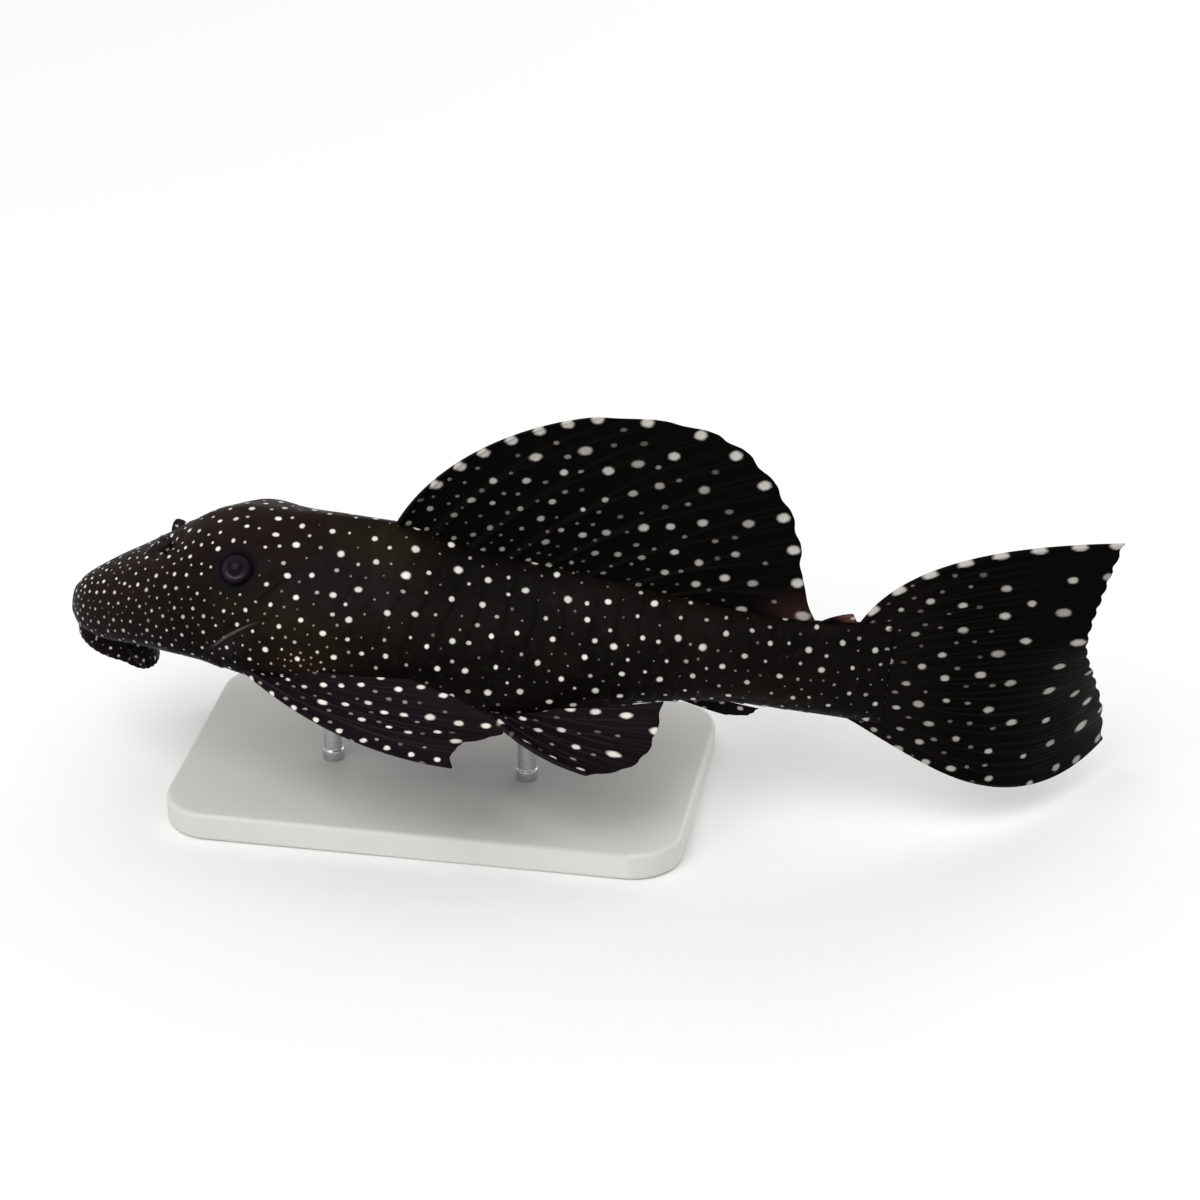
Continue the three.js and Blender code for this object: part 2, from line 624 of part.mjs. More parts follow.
const ANAL = {
  rays: 5,
  firstRoot: 140,
  lastRoot: 148,
  tipAlong: [[0, 159.4], [2, 164.4], [4, 166.8]],
  tipHeights: [[0, 0.8], [2, 1.4], [4, 3.6]],
  bendRoot: [[0, 9], [4, 0]],
  bendTip: [[0, -3], [4, -2]],
};

function analFin() {
  const { tipS, tipZ, bendRoot, bendTip } = flatCurves(ANAL);
  const rays = [];
  for (let k = 0; k < ANAL.rays; k += 1) {
    const s = lerp(ANAL.firstRoot, ANAL.lastRoot, k / (ANAL.rays - 1));
    rays.push(flatRay([s, bellyHeight(s) - GAP], [tipS(k), tipZ(k)], bendRoot(k), bendTip(k)));
  }
  return fin({ rays, rows: 8, rootThickness: 1, tipThickness: 0.6, spineThickness: 1.5, place: inBow });
}

// A paired fin's ray: a smooth arc from its root on the side of the body to its tip, both as [s, y, z].
function pairedRay(root, tip, belly) {
  const from = new THREE.Vector3(...root);
  const to = new THREE.Vector3(...tip);
  const bow = new THREE.Vector3(...belly);
  return (u) => from.clone().lerp(to, u).addScaledVector(bow, 4 * u * (1 - u));
}

const PECTORAL = {
  rays: 7,
  rootAlong: [[0, 47.5], [6, 54]],
  rootAngle: [[0, 104], [6, 92]],
  tipAlong: [[0, 104.2], [1, 104.6], [2, 109], [3, 112.7], [4, 107.5], [5, 99], [6, 89]],
  tipAcross: [[0, 46.9], [1, 43.6], [2, 40.5], [3, 37], [4, 34], [5, 31], [6, 28]],
  tipHeights: [[0, 3.6], [1, 7.6], [2, 8.4], [3, 9.1], [4, 10.8], [5, 12.2], [6, 13.4]],
  bowOut: [[0, 3.2], [3, 1.8], [6, 0.8]],
  bowDown: [[0, 1.5], [3, 0.6], [6, 0]],
  make: { rows: 11, rootThickness: 1.3, tipThickness: 0.7, spineThickness: 2.8 },
};

const PELVIC = {
  rays: 6,
  rootAlong: [[0, 104], [5, 108.5]],
  rootAngle: [[0, 121], [5, 127]],
  tipAlong: [[0, 132], [1, 137], [2, 141.5], [3, 144.2], [4, 145.2], [5, 145.5]],
  tipAcross: [[0, 33], [1, 28.8], [2, 25.5], [3, 20.5], [4, 15.5], [5, 12]],
  tipHeights: [[0, -0.9], [1, -1.9], [2, -1], [3, 0.8], [4, 3.6], [5, 7.8]],
  bowOut: [[0, 3.8], [3, 1.6], [5, 1.4]],
  bowDown: [[0, 0], [5, 0]],
  make: { rows: 8, rootThickness: 1.1, tipThickness: 0.7, spineThickness: 2 },
};

const ROOT_DEPTH = 1.5; // a paired fin's rays start this far inside the body, and are cut clear of it

function pairedFin(sizes, side) {
  const [rootS, rootAngle, tipS, tipY, tipZ] = [
    sizes.rootAlong, sizes.rootAngle, sizes.tipAlong, sizes.tipAcross, sizes.tipHeights,
  ].map(through);
  const [bowOut, bowDown] = [sizes.bowOut, sizes.bowDown].map(through);
  const rays = [];
  for (let k = 0; k < sizes.rays; k += 1) {
    const root = skin(rootS(k), side * rootAngle(k), -ROOT_DEPTH);
    rays.push(pairedRay(root, [tipS(k), side * tipY(k), tipZ(k)], [0, side * bowOut(k), -bowDown(k)]));
  }
  return cutBy(fin({ rays, place: inBow, ...sizes.make }), trunk(GAP), skull(GAP));
}

// Stand
const BASE = { long: 124, wide: 74, thick: 7, corner: 12, bevel: 1.2, cornerSides: 5 };
const ROD = { radius: 2.6, sides: 20 };
const ROD_PLACES = { stand_rod_front: 64, stand_rod_rear: 112 };

function baseGeometry() {
  const { long, wide, thick, corner, bevel } = BASE;
  const x = long / 2 - bevel;
  const y = wide / 2 - bevel;
  const shape = new THREE.Shape();
  shape.moveTo(-x + corner, -y);
  shape.lineTo(x - corner, -y);
  shape.absarc(x - corner, -y + corner, corner, -Math.PI / 2, 0);
  shape.lineTo(x, y - corner);
  shape.absarc(x - corner, y - corner, corner, 0, Math.PI / 2);
  shape.lineTo(-x + corner, y);
  shape.absarc(-x + corner, y - corner, corner, Math.PI / 2, Math.PI);
  shape.lineTo(-x, -y + corner);
  shape.absarc(-x + corner, -y + corner, corner, Math.PI, Math.PI * 1.5);
  const slab = new THREE.ExtrudeGeometry(shape, {
    depth: thick - 2 * bevel,
    bevelSize: bevel,
    bevelThickness: bevel,
    bevelSegments: 1,
    curveSegments: BASE.cornerSides,
  });
  slab.translate(0, 0, bevel);
  return slab;
}

// The fish in the part's frame: tipped nose up and lifted over the base.
const fishPlace = new THREE.Matrix4()
  .makeTranslation(FISH_SHIFT, 0, FISH_LIFT + MIDDLE_HEIGHT)
  .multiply(new THREE.Matrix4().makeRotationY(radians(PITCH)));

// A rod from the base up to the belly, its top cut to the belly's slope.
function rod(s) {
  const centre = bowed(s, 0, bellyHeight(s)).applyMatrix4(fishPlace);
  const ahead = bowed(s + 1, 0, bellyHeight(s + 1)).applyMatrix4(fishPlace);
  const slope = (ahead.z - centre.z) / (ahead.x - centre.x);
  const bottom = [];
  const top = [];
  for (let j = 0; j < ROD.sides; j += 1) {
    const turn = (2 * Math.PI * j) / ROD.sides;
    const x = centre.x + ROD.radius * Math.cos(turn);
    const y = centre.y + ROD.radius * Math.sin(turn);
    bottom.push(new THREE.Vector3(x, y, BASE.thick + GAP));
    top.push(new THREE.Vector3(x, y, centre.z - GAP + slope * (x - centre.x)));
  }
  const foot = new THREE.Vector3(centre.x, centre.y, BASE.thick + GAP);
  const crown = new THREE.Vector3(centre.x, centre.y, centre.z - GAP);
  return closedLoft([bottom, top], foot, crown);
}

// Materials: colour, roughness and metalness of each finish
function finish(color, roughness, metalness = 0) {
  return new THREE.MeshStandardMaterial({ color, roughness, metalness });
}
const skinFinish = () => finish(0x1d1715, 0.45);
const eyeFinish = () => finish(0x1a1826, 0.1);
const finFinish = () => finish(0x12100f, 0.5);
const pairedFinFinish = () => finish(0x2a242c, 0.5);
const standFinish = () => finish(0xb9b6af, 0.6);
const rodFinish = () => finish(0x9da0a3, 0.3, 1);

function named(name, geometry, material) {
  const mesh = new THREE.Mesh(geometry, material);
  mesh.name = name;
  return mesh;
}

const fish = new THREE.Group();
fish.position.set(FISH_SHIFT, 0, FISH_LIFT + MIDDLE_HEIGHT);
fish.rotation.y = radians(PITCH);
fish.add(
  named("head", head(), skinFinish()),
  named("trunk", trunk(), skinFinish()),
  named("tail", tail(), skinFinish()),
  named("eye_left", eye(-1), eyeFinish()),
  named("eye_right", eye(1), eyeFinish()),
  named("dorsal_fin", dorsalFin(), finFinish()),
  named("adipose_fin", adiposeFin(), finFinish()),
  named("caudal_fin", caudalFin(), finFinish()),
  named("anal_fin", analFin(), finFinish()),
  named("pectoral_fin_left", pairedFin(PECTORAL, -1), pairedFinFinish()),
  named("pectoral_fin_right", pairedFin(PECTORAL, 1), pairedFinFinish()),
  named("pelvic_fin_left", pairedFin(PELVIC, -1), pairedFinFinish()),
  named("pelvic_fin_right", pairedFin(PELVIC, 1), pairedFinFinish()),
);

const stand = new THREE.Group();
stand.add(named("stand_base", baseGeometry(), standFinish()));
for (const [name, s] of Object.entries(ROD_PLACES)) stand.add(named(name, rod(s), rodFinish()));

const model = new THREE.Group();
model.add(fish, stand);

export default model;
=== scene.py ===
# %% [markdown]
# A galaxy pleco, life size, on a plain display stand
#
# The fish is a suckermouth catfish: a long head that ends in a hanging lip disc, a body in
# armour plates, stiff spines and branched rays in every fin, and small cream spots from the
# snout to the tips of the fins. Every surface here is worked out from the same named sizes as
# the solid model, only finer, so each piece falls exactly where its solid is.

# %% The frame that everything is built around
import json
from math import cos, pi, radians, sin
from types import SimpleNamespace as Sizes

import bpy
import numpy as np
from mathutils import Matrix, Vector

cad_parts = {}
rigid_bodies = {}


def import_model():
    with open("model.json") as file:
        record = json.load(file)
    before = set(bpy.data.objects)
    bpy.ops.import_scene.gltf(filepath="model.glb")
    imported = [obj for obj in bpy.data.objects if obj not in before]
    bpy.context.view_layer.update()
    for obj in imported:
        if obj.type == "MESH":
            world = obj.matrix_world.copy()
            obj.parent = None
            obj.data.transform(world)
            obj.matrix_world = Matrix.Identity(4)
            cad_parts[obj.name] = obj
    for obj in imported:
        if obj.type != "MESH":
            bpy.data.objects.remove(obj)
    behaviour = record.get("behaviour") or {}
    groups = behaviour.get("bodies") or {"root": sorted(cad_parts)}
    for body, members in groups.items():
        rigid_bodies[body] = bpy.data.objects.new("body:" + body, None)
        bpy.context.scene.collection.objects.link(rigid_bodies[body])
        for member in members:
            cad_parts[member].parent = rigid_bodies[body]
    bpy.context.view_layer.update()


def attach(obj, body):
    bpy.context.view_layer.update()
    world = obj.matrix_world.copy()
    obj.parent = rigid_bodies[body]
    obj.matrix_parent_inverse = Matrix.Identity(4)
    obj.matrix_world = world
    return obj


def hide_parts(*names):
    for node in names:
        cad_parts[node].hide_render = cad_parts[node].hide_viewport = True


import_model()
MM = 0.001  # the fish is measured in millimetres and built in metres

# %% [markdown]
# The camera
#
# The photograph looks at the fish's left side, a little from the tail and well from above.
# A long lens at a fixed distance gives its faint perspective. The camera looks at one aim
# point, so its place follows from two angles and a distance.

# %% Camera
CAMERA_TURN = radians(10)  # towards the tail, away from straight on
CAMERA_RISE = radians(28)
CAMERA_DISTANCE = 850 * MM
CAMERA_AIM = Vector((37.85, 0, 53.01)) * MM
SENSOR = 36.0  # width and height of the square film, in millimetres
LENS = 109.1

camera_data = bpy.data.cameras.new("camera")
camera_data.sensor_width = SENSOR
camera_data.sensor_height = SENSOR
camera_data.sensor_fit = "AUTO"
camera_data.lens = LENS
camera_data.clip_end = 20
camera = bpy.data.objects.new("camera", camera_data)
bpy.context.scene.collection.objects.link(camera)
toward_camera = Vector((
    sin(CAMERA_TURN) * cos(CAMERA_RISE),
    -cos(CAMERA_TURN) * cos(CAMERA_RISE),
    sin(CAMERA_RISE),
))
camera.location = CAMERA_AIM + CAMERA_DISTANCE * toward_camera
camera.rotation_euler = toward_camera.to_track_quat("Z", "Y").to_euler()
bpy.context.scene.camera = camera
print("camera height, mm:", round(camera.location.z / MM))

# %% [markdown]
# Node trees in few words
#
# Every finish below is a small tree of nodes. Helpers add a node, set its options, and fill
# its sockets with numbers or with links, so that a material reads as a list of steps.

# %% Helpers for materials
def fill(tree, node, values):
    """Fill a node's sockets, by name or by place, with numbers or with links."""
    for socket, value in values.items():
        if isinstance(value, bpy.types.NodeSocket):
            tree.links.new(value, node.inputs[socket])
        else:
            node.inputs[socket].default_value = value


def add(tree, kind, values=None, **options):
    """Add a node: options are its settings, and values fill its sockets."""
    made = tree.nodes.new(kind)
    for name, value in options.items():
        setattr(made, name, value)
    fill(tree, made, values or {})
    return made


def blend_colours(tree, factor, first, second):
    """A colour that goes from the first to the second as the factor goes from 0 to 1."""
    values = {0: factor, 6: first, 7: second}
    return add(tree, "ShaderNodeMix", values, data_type="RGBA", blend_type="MIX").outputs[2]


def calculate(tree, operation, first, second=0.0):
    """One sum on numbers, such as ADD or SINE."""
    return add(tree, "ShaderNodeMath", {0: first, 1: second}, operation=operation).outputs[0]


def multiply(tree, first, second):
    """The product of two numbers."""
    return calculate(tree, "MULTIPLY", first, second)


def ramp(tree, value, low, high, to_low=0.0, to_high=1.0):
    """A smooth step: to_low below low, to_high above high."""
    values = {"Value": value, "From Min": low, "From Max": high, "To Min": to_low, "To Max": to_high}
    return add(tree, "ShaderNodeMapRange", values, interpolation_type="SMOOTHSTEP").outputs[0]


def own_place(tree):
    """Where a point lies in the object's own metres."""
    return add(tree, "ShaderNodeTexCoord").outputs["Object"]


def noise(tree, scale, detail=3.0, roughness=0.55):
    """Cloudy noise in the object's own metres."""
    values = {"Vector": own_place(tree), "Scale": scale, "Detail": detail, "Roughness": roughness}
    return add(tree, "ShaderNodeTexNoise", values).outputs["Fac"]


def clouds(tree, scale, low, high, to_low=0.0, to_high=1.0, **more):
    """Soft clouds: noise between low and high becomes a number between to_low and to_high."""
    return ramp(tree, noise(tree, scale, **more), low, high, to_low, to_high)


def bump(tree, strength, distance, height):
    """A fine relief that only bends the light, for the shader's Normal."""
    values = {"Strength": strength, "Distance": distance, "Height": height}
    return add(tree, "ShaderNodeBump", values).outputs["Normal"]


def number(tree, name):
    """A number that the mesh carries on its points."""
    return add(tree, "ShaderNodeAttribute", attribute_name=name).outputs["Fac"]


def new_material(name):
    """An empty material with its main shader: returns the material, its tree and the shader."""
    material = bpy.data.materials.new(name)
    material.use_nodes = True
    tree = material.node_tree
    tree.nodes.clear()
    shader = add(tree, "ShaderNodeBsdfPrincipled")
    add(tree, "ShaderNodeOutputMaterial", {"Surface": shader.outputs[0]})
    return material, tree, shader


print("helpers ready")

# %% [markdown]
# Floor and light
#
# The object stands on a plain pale floor in the light of a studio: a white room for the soft
# part, one large panel overhead and to the left for form, and one low panel behind for an
# edge. Area lights a metre wide keep every shadow soft.

# %% Floor and light
FLOOR_HALF = 4.0
FLOOR_COLOUR = (0.88, 0.88, 0.87, 1)
ROOM_LIGHT = (1.0, 1.0, 1.0, 1)
ROOM_STRENGTH = 0.80

floor_mesh = bpy.data.meshes.new("floor")
floor_corners = [(x * FLOOR_HALF, y * FLOOR_HALF, 0) for x, y in ((-1, -1), (1, -1), (1, 1), (-1, 1))]
floor_mesh.from_pydata(floor_corners, [], [(0, 1, 2, 3)])
floor = bpy.data.objects.new("floor", floor_mesh)
bpy.context.scene.collection.objects.link(floor)
floor_material, floor_tree, floor_shader = new_material("floor_paper")
fill(floor_tree, floor_shader, {"Base Color": FLOOR_COLOUR, "Roughness": 0.9, "Specular IOR Level": 0.1})
floor_mesh.materials.append(floor_material)

world = bpy.data.worlds.new("studio")
world.use_nodes = True
fill(world.node_tree, world.node_tree.nodes["Background"], {"Color": ROOM_LIGHT, "Strength": ROOM_STRENGTH})
bpy.context.scene.world = world
bpy.context.scene.view_settings.view_transform = "Standard"


def panel_light(name, place, power, size):
    """A square lamp that faces the fish from place, in metres."""
    data = bpy.data.lights.new(name, "AREA")
    data.energy = power
    data.size = size
    lamp = bpy.data.objects.new(name, data)
    lamp.location = place
    lamp.rotation_euler = (Vector(place) - CAMERA_AIM).to_track_quat("Z", "Y").to_euler()
    bpy.context.scene.collection.objects.link(lamp)


panel_light("overhead_light", (-0.35, -0.75, 1.15), 9.0, 0.9)
panel_light("rear_light", (0.7, 1.0, 0.6), 4.0, 0.8)
print("floor and lights placed")

# %% [markdown]
# Smooth curves from a few stations
#
# The outline of a fish is best told by a few measured stations: how high the back is and how
# wide the body is at some distances from the snout. A cubic between each two stations, level
# where the stations turn back, never swings past them as a plain spline does.

# %% Curves through stations
def through(stations):
    """A smooth curve through (place, value) stations: a cubic between each two.

    Its slope at a station is the harmonic mean of the slopes on both sides, or nought where
    they have different signs.
    """
    x, y = np.array(stations, float).T
    slope = np.diff(y) / np.diff(x)
    product = slope[:-1] * slope[1:]
    total = slope[:-1] + slope[1:]
    inner = np.where(product > 0, 2 * product / np.where(product > 0, total, 1), 0)
    tangent = np.concatenate([slope[:1], inner, slope[-1:]])

    def curve(at):
        """The cubic at any places, one number or an array."""
        at = np.asarray(at, float)
        i = np.clip(np.searchsorted(x, at, side="left") - 1, 0, len(x) - 2)
        span = x[i + 1] - x[i]
        t = (at - x[i]) / span
        rise = y[i + 1] - y[i]
        leaving = tangent[i] * span - rise
        arriving = tangent[i + 1] * span - rise
        return y[i] + rise * t + t * (1 - t) * ((1 - t) * leaving - t * arriving)

    return curve


def smooth(x, low, high):
    """The smooth step: 0 below low, 1 above high, 3t2 - 2t3 between."""
    t = np.clip((np.asarray(x, float) - low) / (high - low), 0, 1)
    return t * t * (3 - 2 * t)


def lerp(first, second, share):
    """The value that lies a share of the way from the first to the second."""
    return first + (second - first) * share


def full_turn(count):
    """Angles of evenly spaced places round a circle."""
    return 2 * pi * np.arange(count) / count


# %% Sizes of the body, in millimetres
BODY_LENGTH = 189.0  # snout to the root of the tail fin
BEND_RADIUS = 1071.0  # of the sideways bow of the whole fish
BEND_CENTRE = 118.0  # where along the body the bow is deepest
PITCH = radians(4.7)  # the fish is tipped nose up
MIDDLE_HEIGHT = 18.0  # height of the tipping axis above the fish's zero plane
FISH_LIFT = 31.0  # of that zero plane above the floor
FISH_SHIFT = 29.0
NECK_TOP = 66.0  # rear edge of the skull roof
NECK_LOW = 45.0  # rear edge of the gill cover, low on the cheek
NECK_SLANT = (12, 84)  # degrees round from the middle of the back
WAIST = 128.0  # between trunk and tail

back_height = through([
    (0, 5), (2, 7.8), (5, 10.4), (10, 14.2), (16, 18.3), (21, 22), (28, 27.6), (36, 32.8), (44, 35.3),
    (52, 35.8), (66, 37.1), (80, 37.8), (98, 34.7), (118, 33.2), (142, 30.8), (160, 28.9),
    (174, 28.5), (189, 30), (196, 31),
])
belly_height = through([
    (0, -3), (3, -4.4), (8, -4.4), (24, -1), (45, 0.4), (62, -1.6), (80, -2.4), (108, -2.6),
    (128, -0.4), (142, 3.4), (160, 5.4), (174, 4.9), (189, 4.1), (196, 3.2),
])
half_width = through([
    (0, 3), (1.2, 4.8), (2.6, 6.6), (5, 8.8), (10, 12), (18, 15.8), (30, 20), (40, 22.6), (50, 25.2),
    (64, 26), (80, 24.2), (100, 20.6), (118, 16.4), (135, 12), (150, 9), (165, 7), (178, 5.4),
    (189, 3.2), (196, 0.75),
])
widest_height = through([
    (0, 0.4), (8, 0.8), (20, 3.6), (40, 7.2), (60, 8.2), (100, 8.5), (128, 11), (150, 15),
    (170, 16.8), (189, 17), (196, 17),
])
upper_squareness = through([
    (0, 2.2), (20, 2), (34, 1.72), (48, 1.64), (62, 1.5), (76, 1.4), (110, 1.45), (140, 1.6),
    (170, 1.8), (189, 2),
])
lower_squareness = through([
    (0, 2.2), (20, 2.2), (50, 2.5), (80, 3), (110, 2.9), (140, 2.2), (189, 2),
])
ELLIPSE = 2.0  # the squareness of a plain ellipse
KEEL = (25, 90)  # degrees from the middle of the back, over which the section becomes one
print("widest place of the fish, mm:", float(2 * half_width(64)))


# %% [markdown]
# From the fish's own directions to the frame
#
# It is easiest to describe the fish straight and level: s runs along the body from the
# snout, y to its right side and z up. One function then bows the body sideways along a large
# circle, tips it nose up and lifts it over the stand, for whole arrays of points at once.

# %% Placing the fish
def in_frame(s, y, z):
    """Points of the straight fish, in millimetres, to points of the frame, in metres.

    The line of the body is an arc of a circle: a point y beside it lies on the circle's own
    radius. The tip then turns x and z together about the tipping axis.
    """
    s, y, z = np.broadcast_arrays(*(np.asarray(value, float) for value in (s, y, z)))
    turn = (s - BEND_CENTRE) / BEND_RADIUS
    x = BEND_RADIUS * np.sin(turn) - y * np.sin(turn)
    across = BEND_RADIUS * (cos(BEND_CENTRE / BEND_RADIUS) - np.cos(turn)) + y * np.cos(turn)
    up = z - MIDDLE_HEIGHT
    along = x * cos(PITCH) + up * sin(PITCH) + FISH_SHIFT
    height = up * cos(PITCH) - x * sin(PITCH) + FISH_LIFT + MIDDLE_HEIGHT
    return np.stack([along, across, height], axis=-1) * MM


def placed(points):
    """The same for an array whose last direction holds s, y and z."""
    return in_frame(*points.reshape(-1, 3).T).reshape(points.shape)


def skin_point(s, angle, raised=0.0):
    """A point of the body's outline at s, angle degrees round from the middle of the back.

    Each section is two half ovals that meet at the widest height: the power that bends the
    sine and cosine makes them keeled or square. raised moves the point out from the middle.
    """
    turn = np.radians(angle)
    upper = np.cos(turn) >= 0
    middle = widest_height(s)
    above = lerp(upper_squareness(s), ELLIPSE, smooth(np.abs(angle), *KEEL))
    power = 2 / np.where(upper, above, lower_squareness(s))
    reach = np.where(upper, back_height(s), belly_height(s)) - middle
    y = np.sign(np.sin(turn)) * half_width(s) * np.abs(np.sin(turn)) ** power
    z = reach * np.abs(np.cos(turn)) ** power
    grow = 1 + raised / np.maximum(np.hypot(y, z), 0.5)
    return s, y * grow, middle + z * grow


print("snout tip in the frame, mm:", (in_frame(0, 0, 0) / MM).round(1))

# %% [markdown]
# The skin as one grid
#
# One closed surface covers head, trunk and tail, so no seam shows. Its columns run along the
# body and follow the seams between the five rows of plates on each side. Its rings follow the
# rear edges of the plates, which lie slanted behind the head and upright on the tail, so a
# plate's edge falls between two rings and stays crisp.

# %% Columns round the body
ROW_ANGLES_TRUNK = [10, 34, 56, 76, 96, 118]  # seams between the rows, in degrees
ROW_ANGLES_TAIL = [12, 42, 72, 102, 132, 160]
ROW_CHANGE = (104, 150)  # along the body, from the first set to the second
PLATE_ROWS = 5
CREST_COLUMNS = 4
ROW_COLUMNS = 12
BELLY_COLUMNS = 34
CROWN_POWER = 0.8  # on the sine across a row: less makes it flatter
row_ends = CREST_COLUMNS + ROW_COLUMNS * np.arange(PLATE_ROWS + 1)
SIDE_COLUMNS = int(row_ends[-1]) + BELLY_COLUMNS
side_index = np.arange(SIDE_COLUMNS + 1)


def both_sides(values, sign=1):
    """The values of the right side's columns, and back up the left side with their sign."""
    return np.concatenate([values, sign * values[SIDE_COLUMNS - 1:0:-1]])


def angles_round(row_angles):
    """Angle of each column, read between the seams' own."""
    return both_sides(np.interp(side_index, [0, *row_ends, SIDE_COLUMNS], [0, *row_angles, 180]), -1)


trunk_angles = angles_round(ROW_ANGLES_TRUNK)
tail_angles = angles_round(ROW_ANGLES_TAIL)
row_share = ((side_index - CREST_COLUMNS) / ROW_COLUMNS) % 1.0
side_in_rows = (side_index >= CREST_COLUMNS) & (side_index <= row_ends[-1])
crown = both_sides(np.where(side_in_rows, np.sin(pi * row_share) ** CROWN_POWER, 0))
in_rows = both_sides(side_in_rows).astype(float)


def column_angles(s):
    """Each column's angle at s: the trunk's angle turns smoothly into the tail's."""
    return lerp(trunk_angles, tail_angles, smooth(s, *ROW_CHANGE))


def neck_at(angle):
    """Where the head ends: further back on the skull roof than on the cheek."""
    return lerp(NECK_TOP, NECK_LOW, smooth(np.abs(angle), *NECK_SLANT))


print("columns round the body:", len(trunk_angles))

# %% [markdown]
# Relief of the head and of the plates
#
# The head is bone under thin skin: brow and cheek swell, a pit holds the nostril, and the gill
# cover ends in a raised edge. Behind it each plate climbs to its rear edge and drops to the
# next, like a roof tile. A picture of heights would blur those drops, so the relief is a sum
# of bells and ramps, added to the outline at every point of the grid.

# %% Relief of the head
EYE = Sizes(along=45.0, across=14.2, height=25.6, radius=4.1)
EYE_FACING = np.array([0.05, 0.8, 0.6]) / np.linalg.norm([0.05, 0.8, 0.6])
NOSTRIL = Sizes(along=23.4, angle=17.0, long=2.6, wide=9.0, deep=1.5)
NOSTRIL_RIM = Sizes(height=0.3, at=2.2, wide=0.9)  # place and width on the pit's own scale
SWELLINGS = [  # height, place, angle, length and width of each
    (1.3, 45, 30, 8, 10),  # brow
    (1.0, 34, 82, 10, 22),  # cheek
    (-0.9, 25, 22, 4, 12),  # dip round the nostril
    (-0.5, 45, 86, 5, 9),  # hollow in front of the gill cover's lower edge
]
GILL_EDGE = Sizes(height=0.4, start=7.0, top=0.8, falls=0.7, angles=(20, 50))


def patch(s, angle, place, turn, long, wide):
    """A soft round patch: 1 at its middle, falling off as a bell."""
    return np.exp(-((s - place) / long) ** 2 - ((np.abs(angle) - turn) / wide) ** 2)


def head_relief(s, angle):
    """How far the head stands out: bell-shaped swellings, and the gill cover's rear edge."""
    height = np.zeros(np.broadcast(s, angle).shape)
    for rise, *bell in SWELLINGS:
        height += rise * patch(s, angle, *bell)
    edge = neck_at(angle)
    lip = smooth(s, edge - GILL_EDGE.start, edge - GILL_EDGE.top)
    lip = lip * (1 - smooth(s, edge - GILL_EDGE.falls, edge))
    height += GILL_EDGE.height * lip * smooth(np.abs(angle), *GILL_EDGE.angles)
    pit = ((s - NOSTRIL.along) / NOSTRIL.long) ** 2
    pit = pit + ((np.abs(angle) - NOSTRIL.angle) / NOSTRIL.wide) ** 2
    rim = NOSTRIL_RIM.height * np.exp(-((pit - NOSTRIL_RIM.at) / NOSTRIL_RIM.wide) ** 2)
    return height - NOSTRIL.deep * np.exp(-pit ** 2) + rim


print("the brow stands out, mm:", round(float(head_relief(45.0, 30.0)), 1))

# %% Relief of the plates
PLATES = 12  # in each row of the trunk, and again in each row of the tail
PLATE_STEP = 0.36  # how far the rear edge of a plate stands up
PLATE_CALM = Sizes(share=0.3, until=(66, 112))  # the step is lower behind the head
PLATE_BULGE = 0.9  # how far its middle bulges back
BULGE_EASE = 8  # the bulge grows and fades over one part in eight of the armour's length
PLATE_LAP = 0.86  # share of a plate's length where its rear edge begins to drop
PLATE_FOOT = 0.94  # and where it has dropped
PLATE_DROP = 0.9  # a ring between the two
SEAM_SHARE = 0.25  # of the step, along the seams between rows
SLANT_FADE = 2
CREST_RELIEF = 0.15  # share of the relief that is left along the smooth middle of the back
CREST_ANGLES = (14, 46)


def plate_rings(climbing, start_at, end_at):
    """Rings of one armoured length: distance along the body and height of the relief.

    A ring is level at its place on the side of the body; its slant fades with the square of
    the way that is left. Within a plate the surface climbs evenly, on as many rings as
    climbing says, then drops at its edge.
    """
    in_plate = np.append(np.linspace(0, PLATE_LAP, climbing), [PLATE_DROP, PLATE_FOOT])
    step = (np.arange(PLATES)[:, None] + in_plate[None]).ravel() / PLATES
    tile = np.tile(np.where(in_plate <= PLATE_LAP, in_plate / PLATE_LAP,
                            (PLATE_FOOT - in_plate) / (PLATE_FOOT - PLATE_LAP)), PLATES)
    level = lerp(start_at(90.0), end_at, step)[:, None]
    angles = column_angles(level)
    slant = start_at(angles) - start_at(90.0)
    ease = np.minimum(1, np.minimum(BULGE_EASE * step, BULGE_EASE * (1 - step)))[:, None]
    s = level + slant * (1 - step[:, None]) ** SLANT_FADE + PLATE_BULGE * (crown - 0.5) * in_rows * ease
    calm = lerp(PLATE_CALM.share, 1, smooth(s, *PLATE_CALM.until))
    relief = PLATE_STEP * calm * tile[:, None] * lerp(SEAM_SHARE, 1, crown) * in_rows
    relief = relief * lerp(CREST_RELIEF, 1, smooth(np.abs(angles), *CREST_ANGLES))
    return s, relief


trunk_s, trunk_height = plate_rings(9, neck_at, WAIST)
tail_s, tail_height = plate_rings(7, lambda angle: WAIST + 0 * angle, BODY_LENGTH)
print("highest plate edge, mm:", round(float(tail_height.max()), 2))

# %% The body's grid of points
HEAD_RINGS = 150
SNOUT_CROWDING = 1.25  # the head's rings crowd towards the tip
SNOUT_TIP = (-0.5, 0.0, 0.8)
CAP_RINGS = 8
TAIL_END = Sizes(along=195.6, rings=9, bulge=0.2)
SOCKET = Sizes(depth=3.4, wall=(3.0, 4.1), behind=-3)  # behind: how deep points are still moved


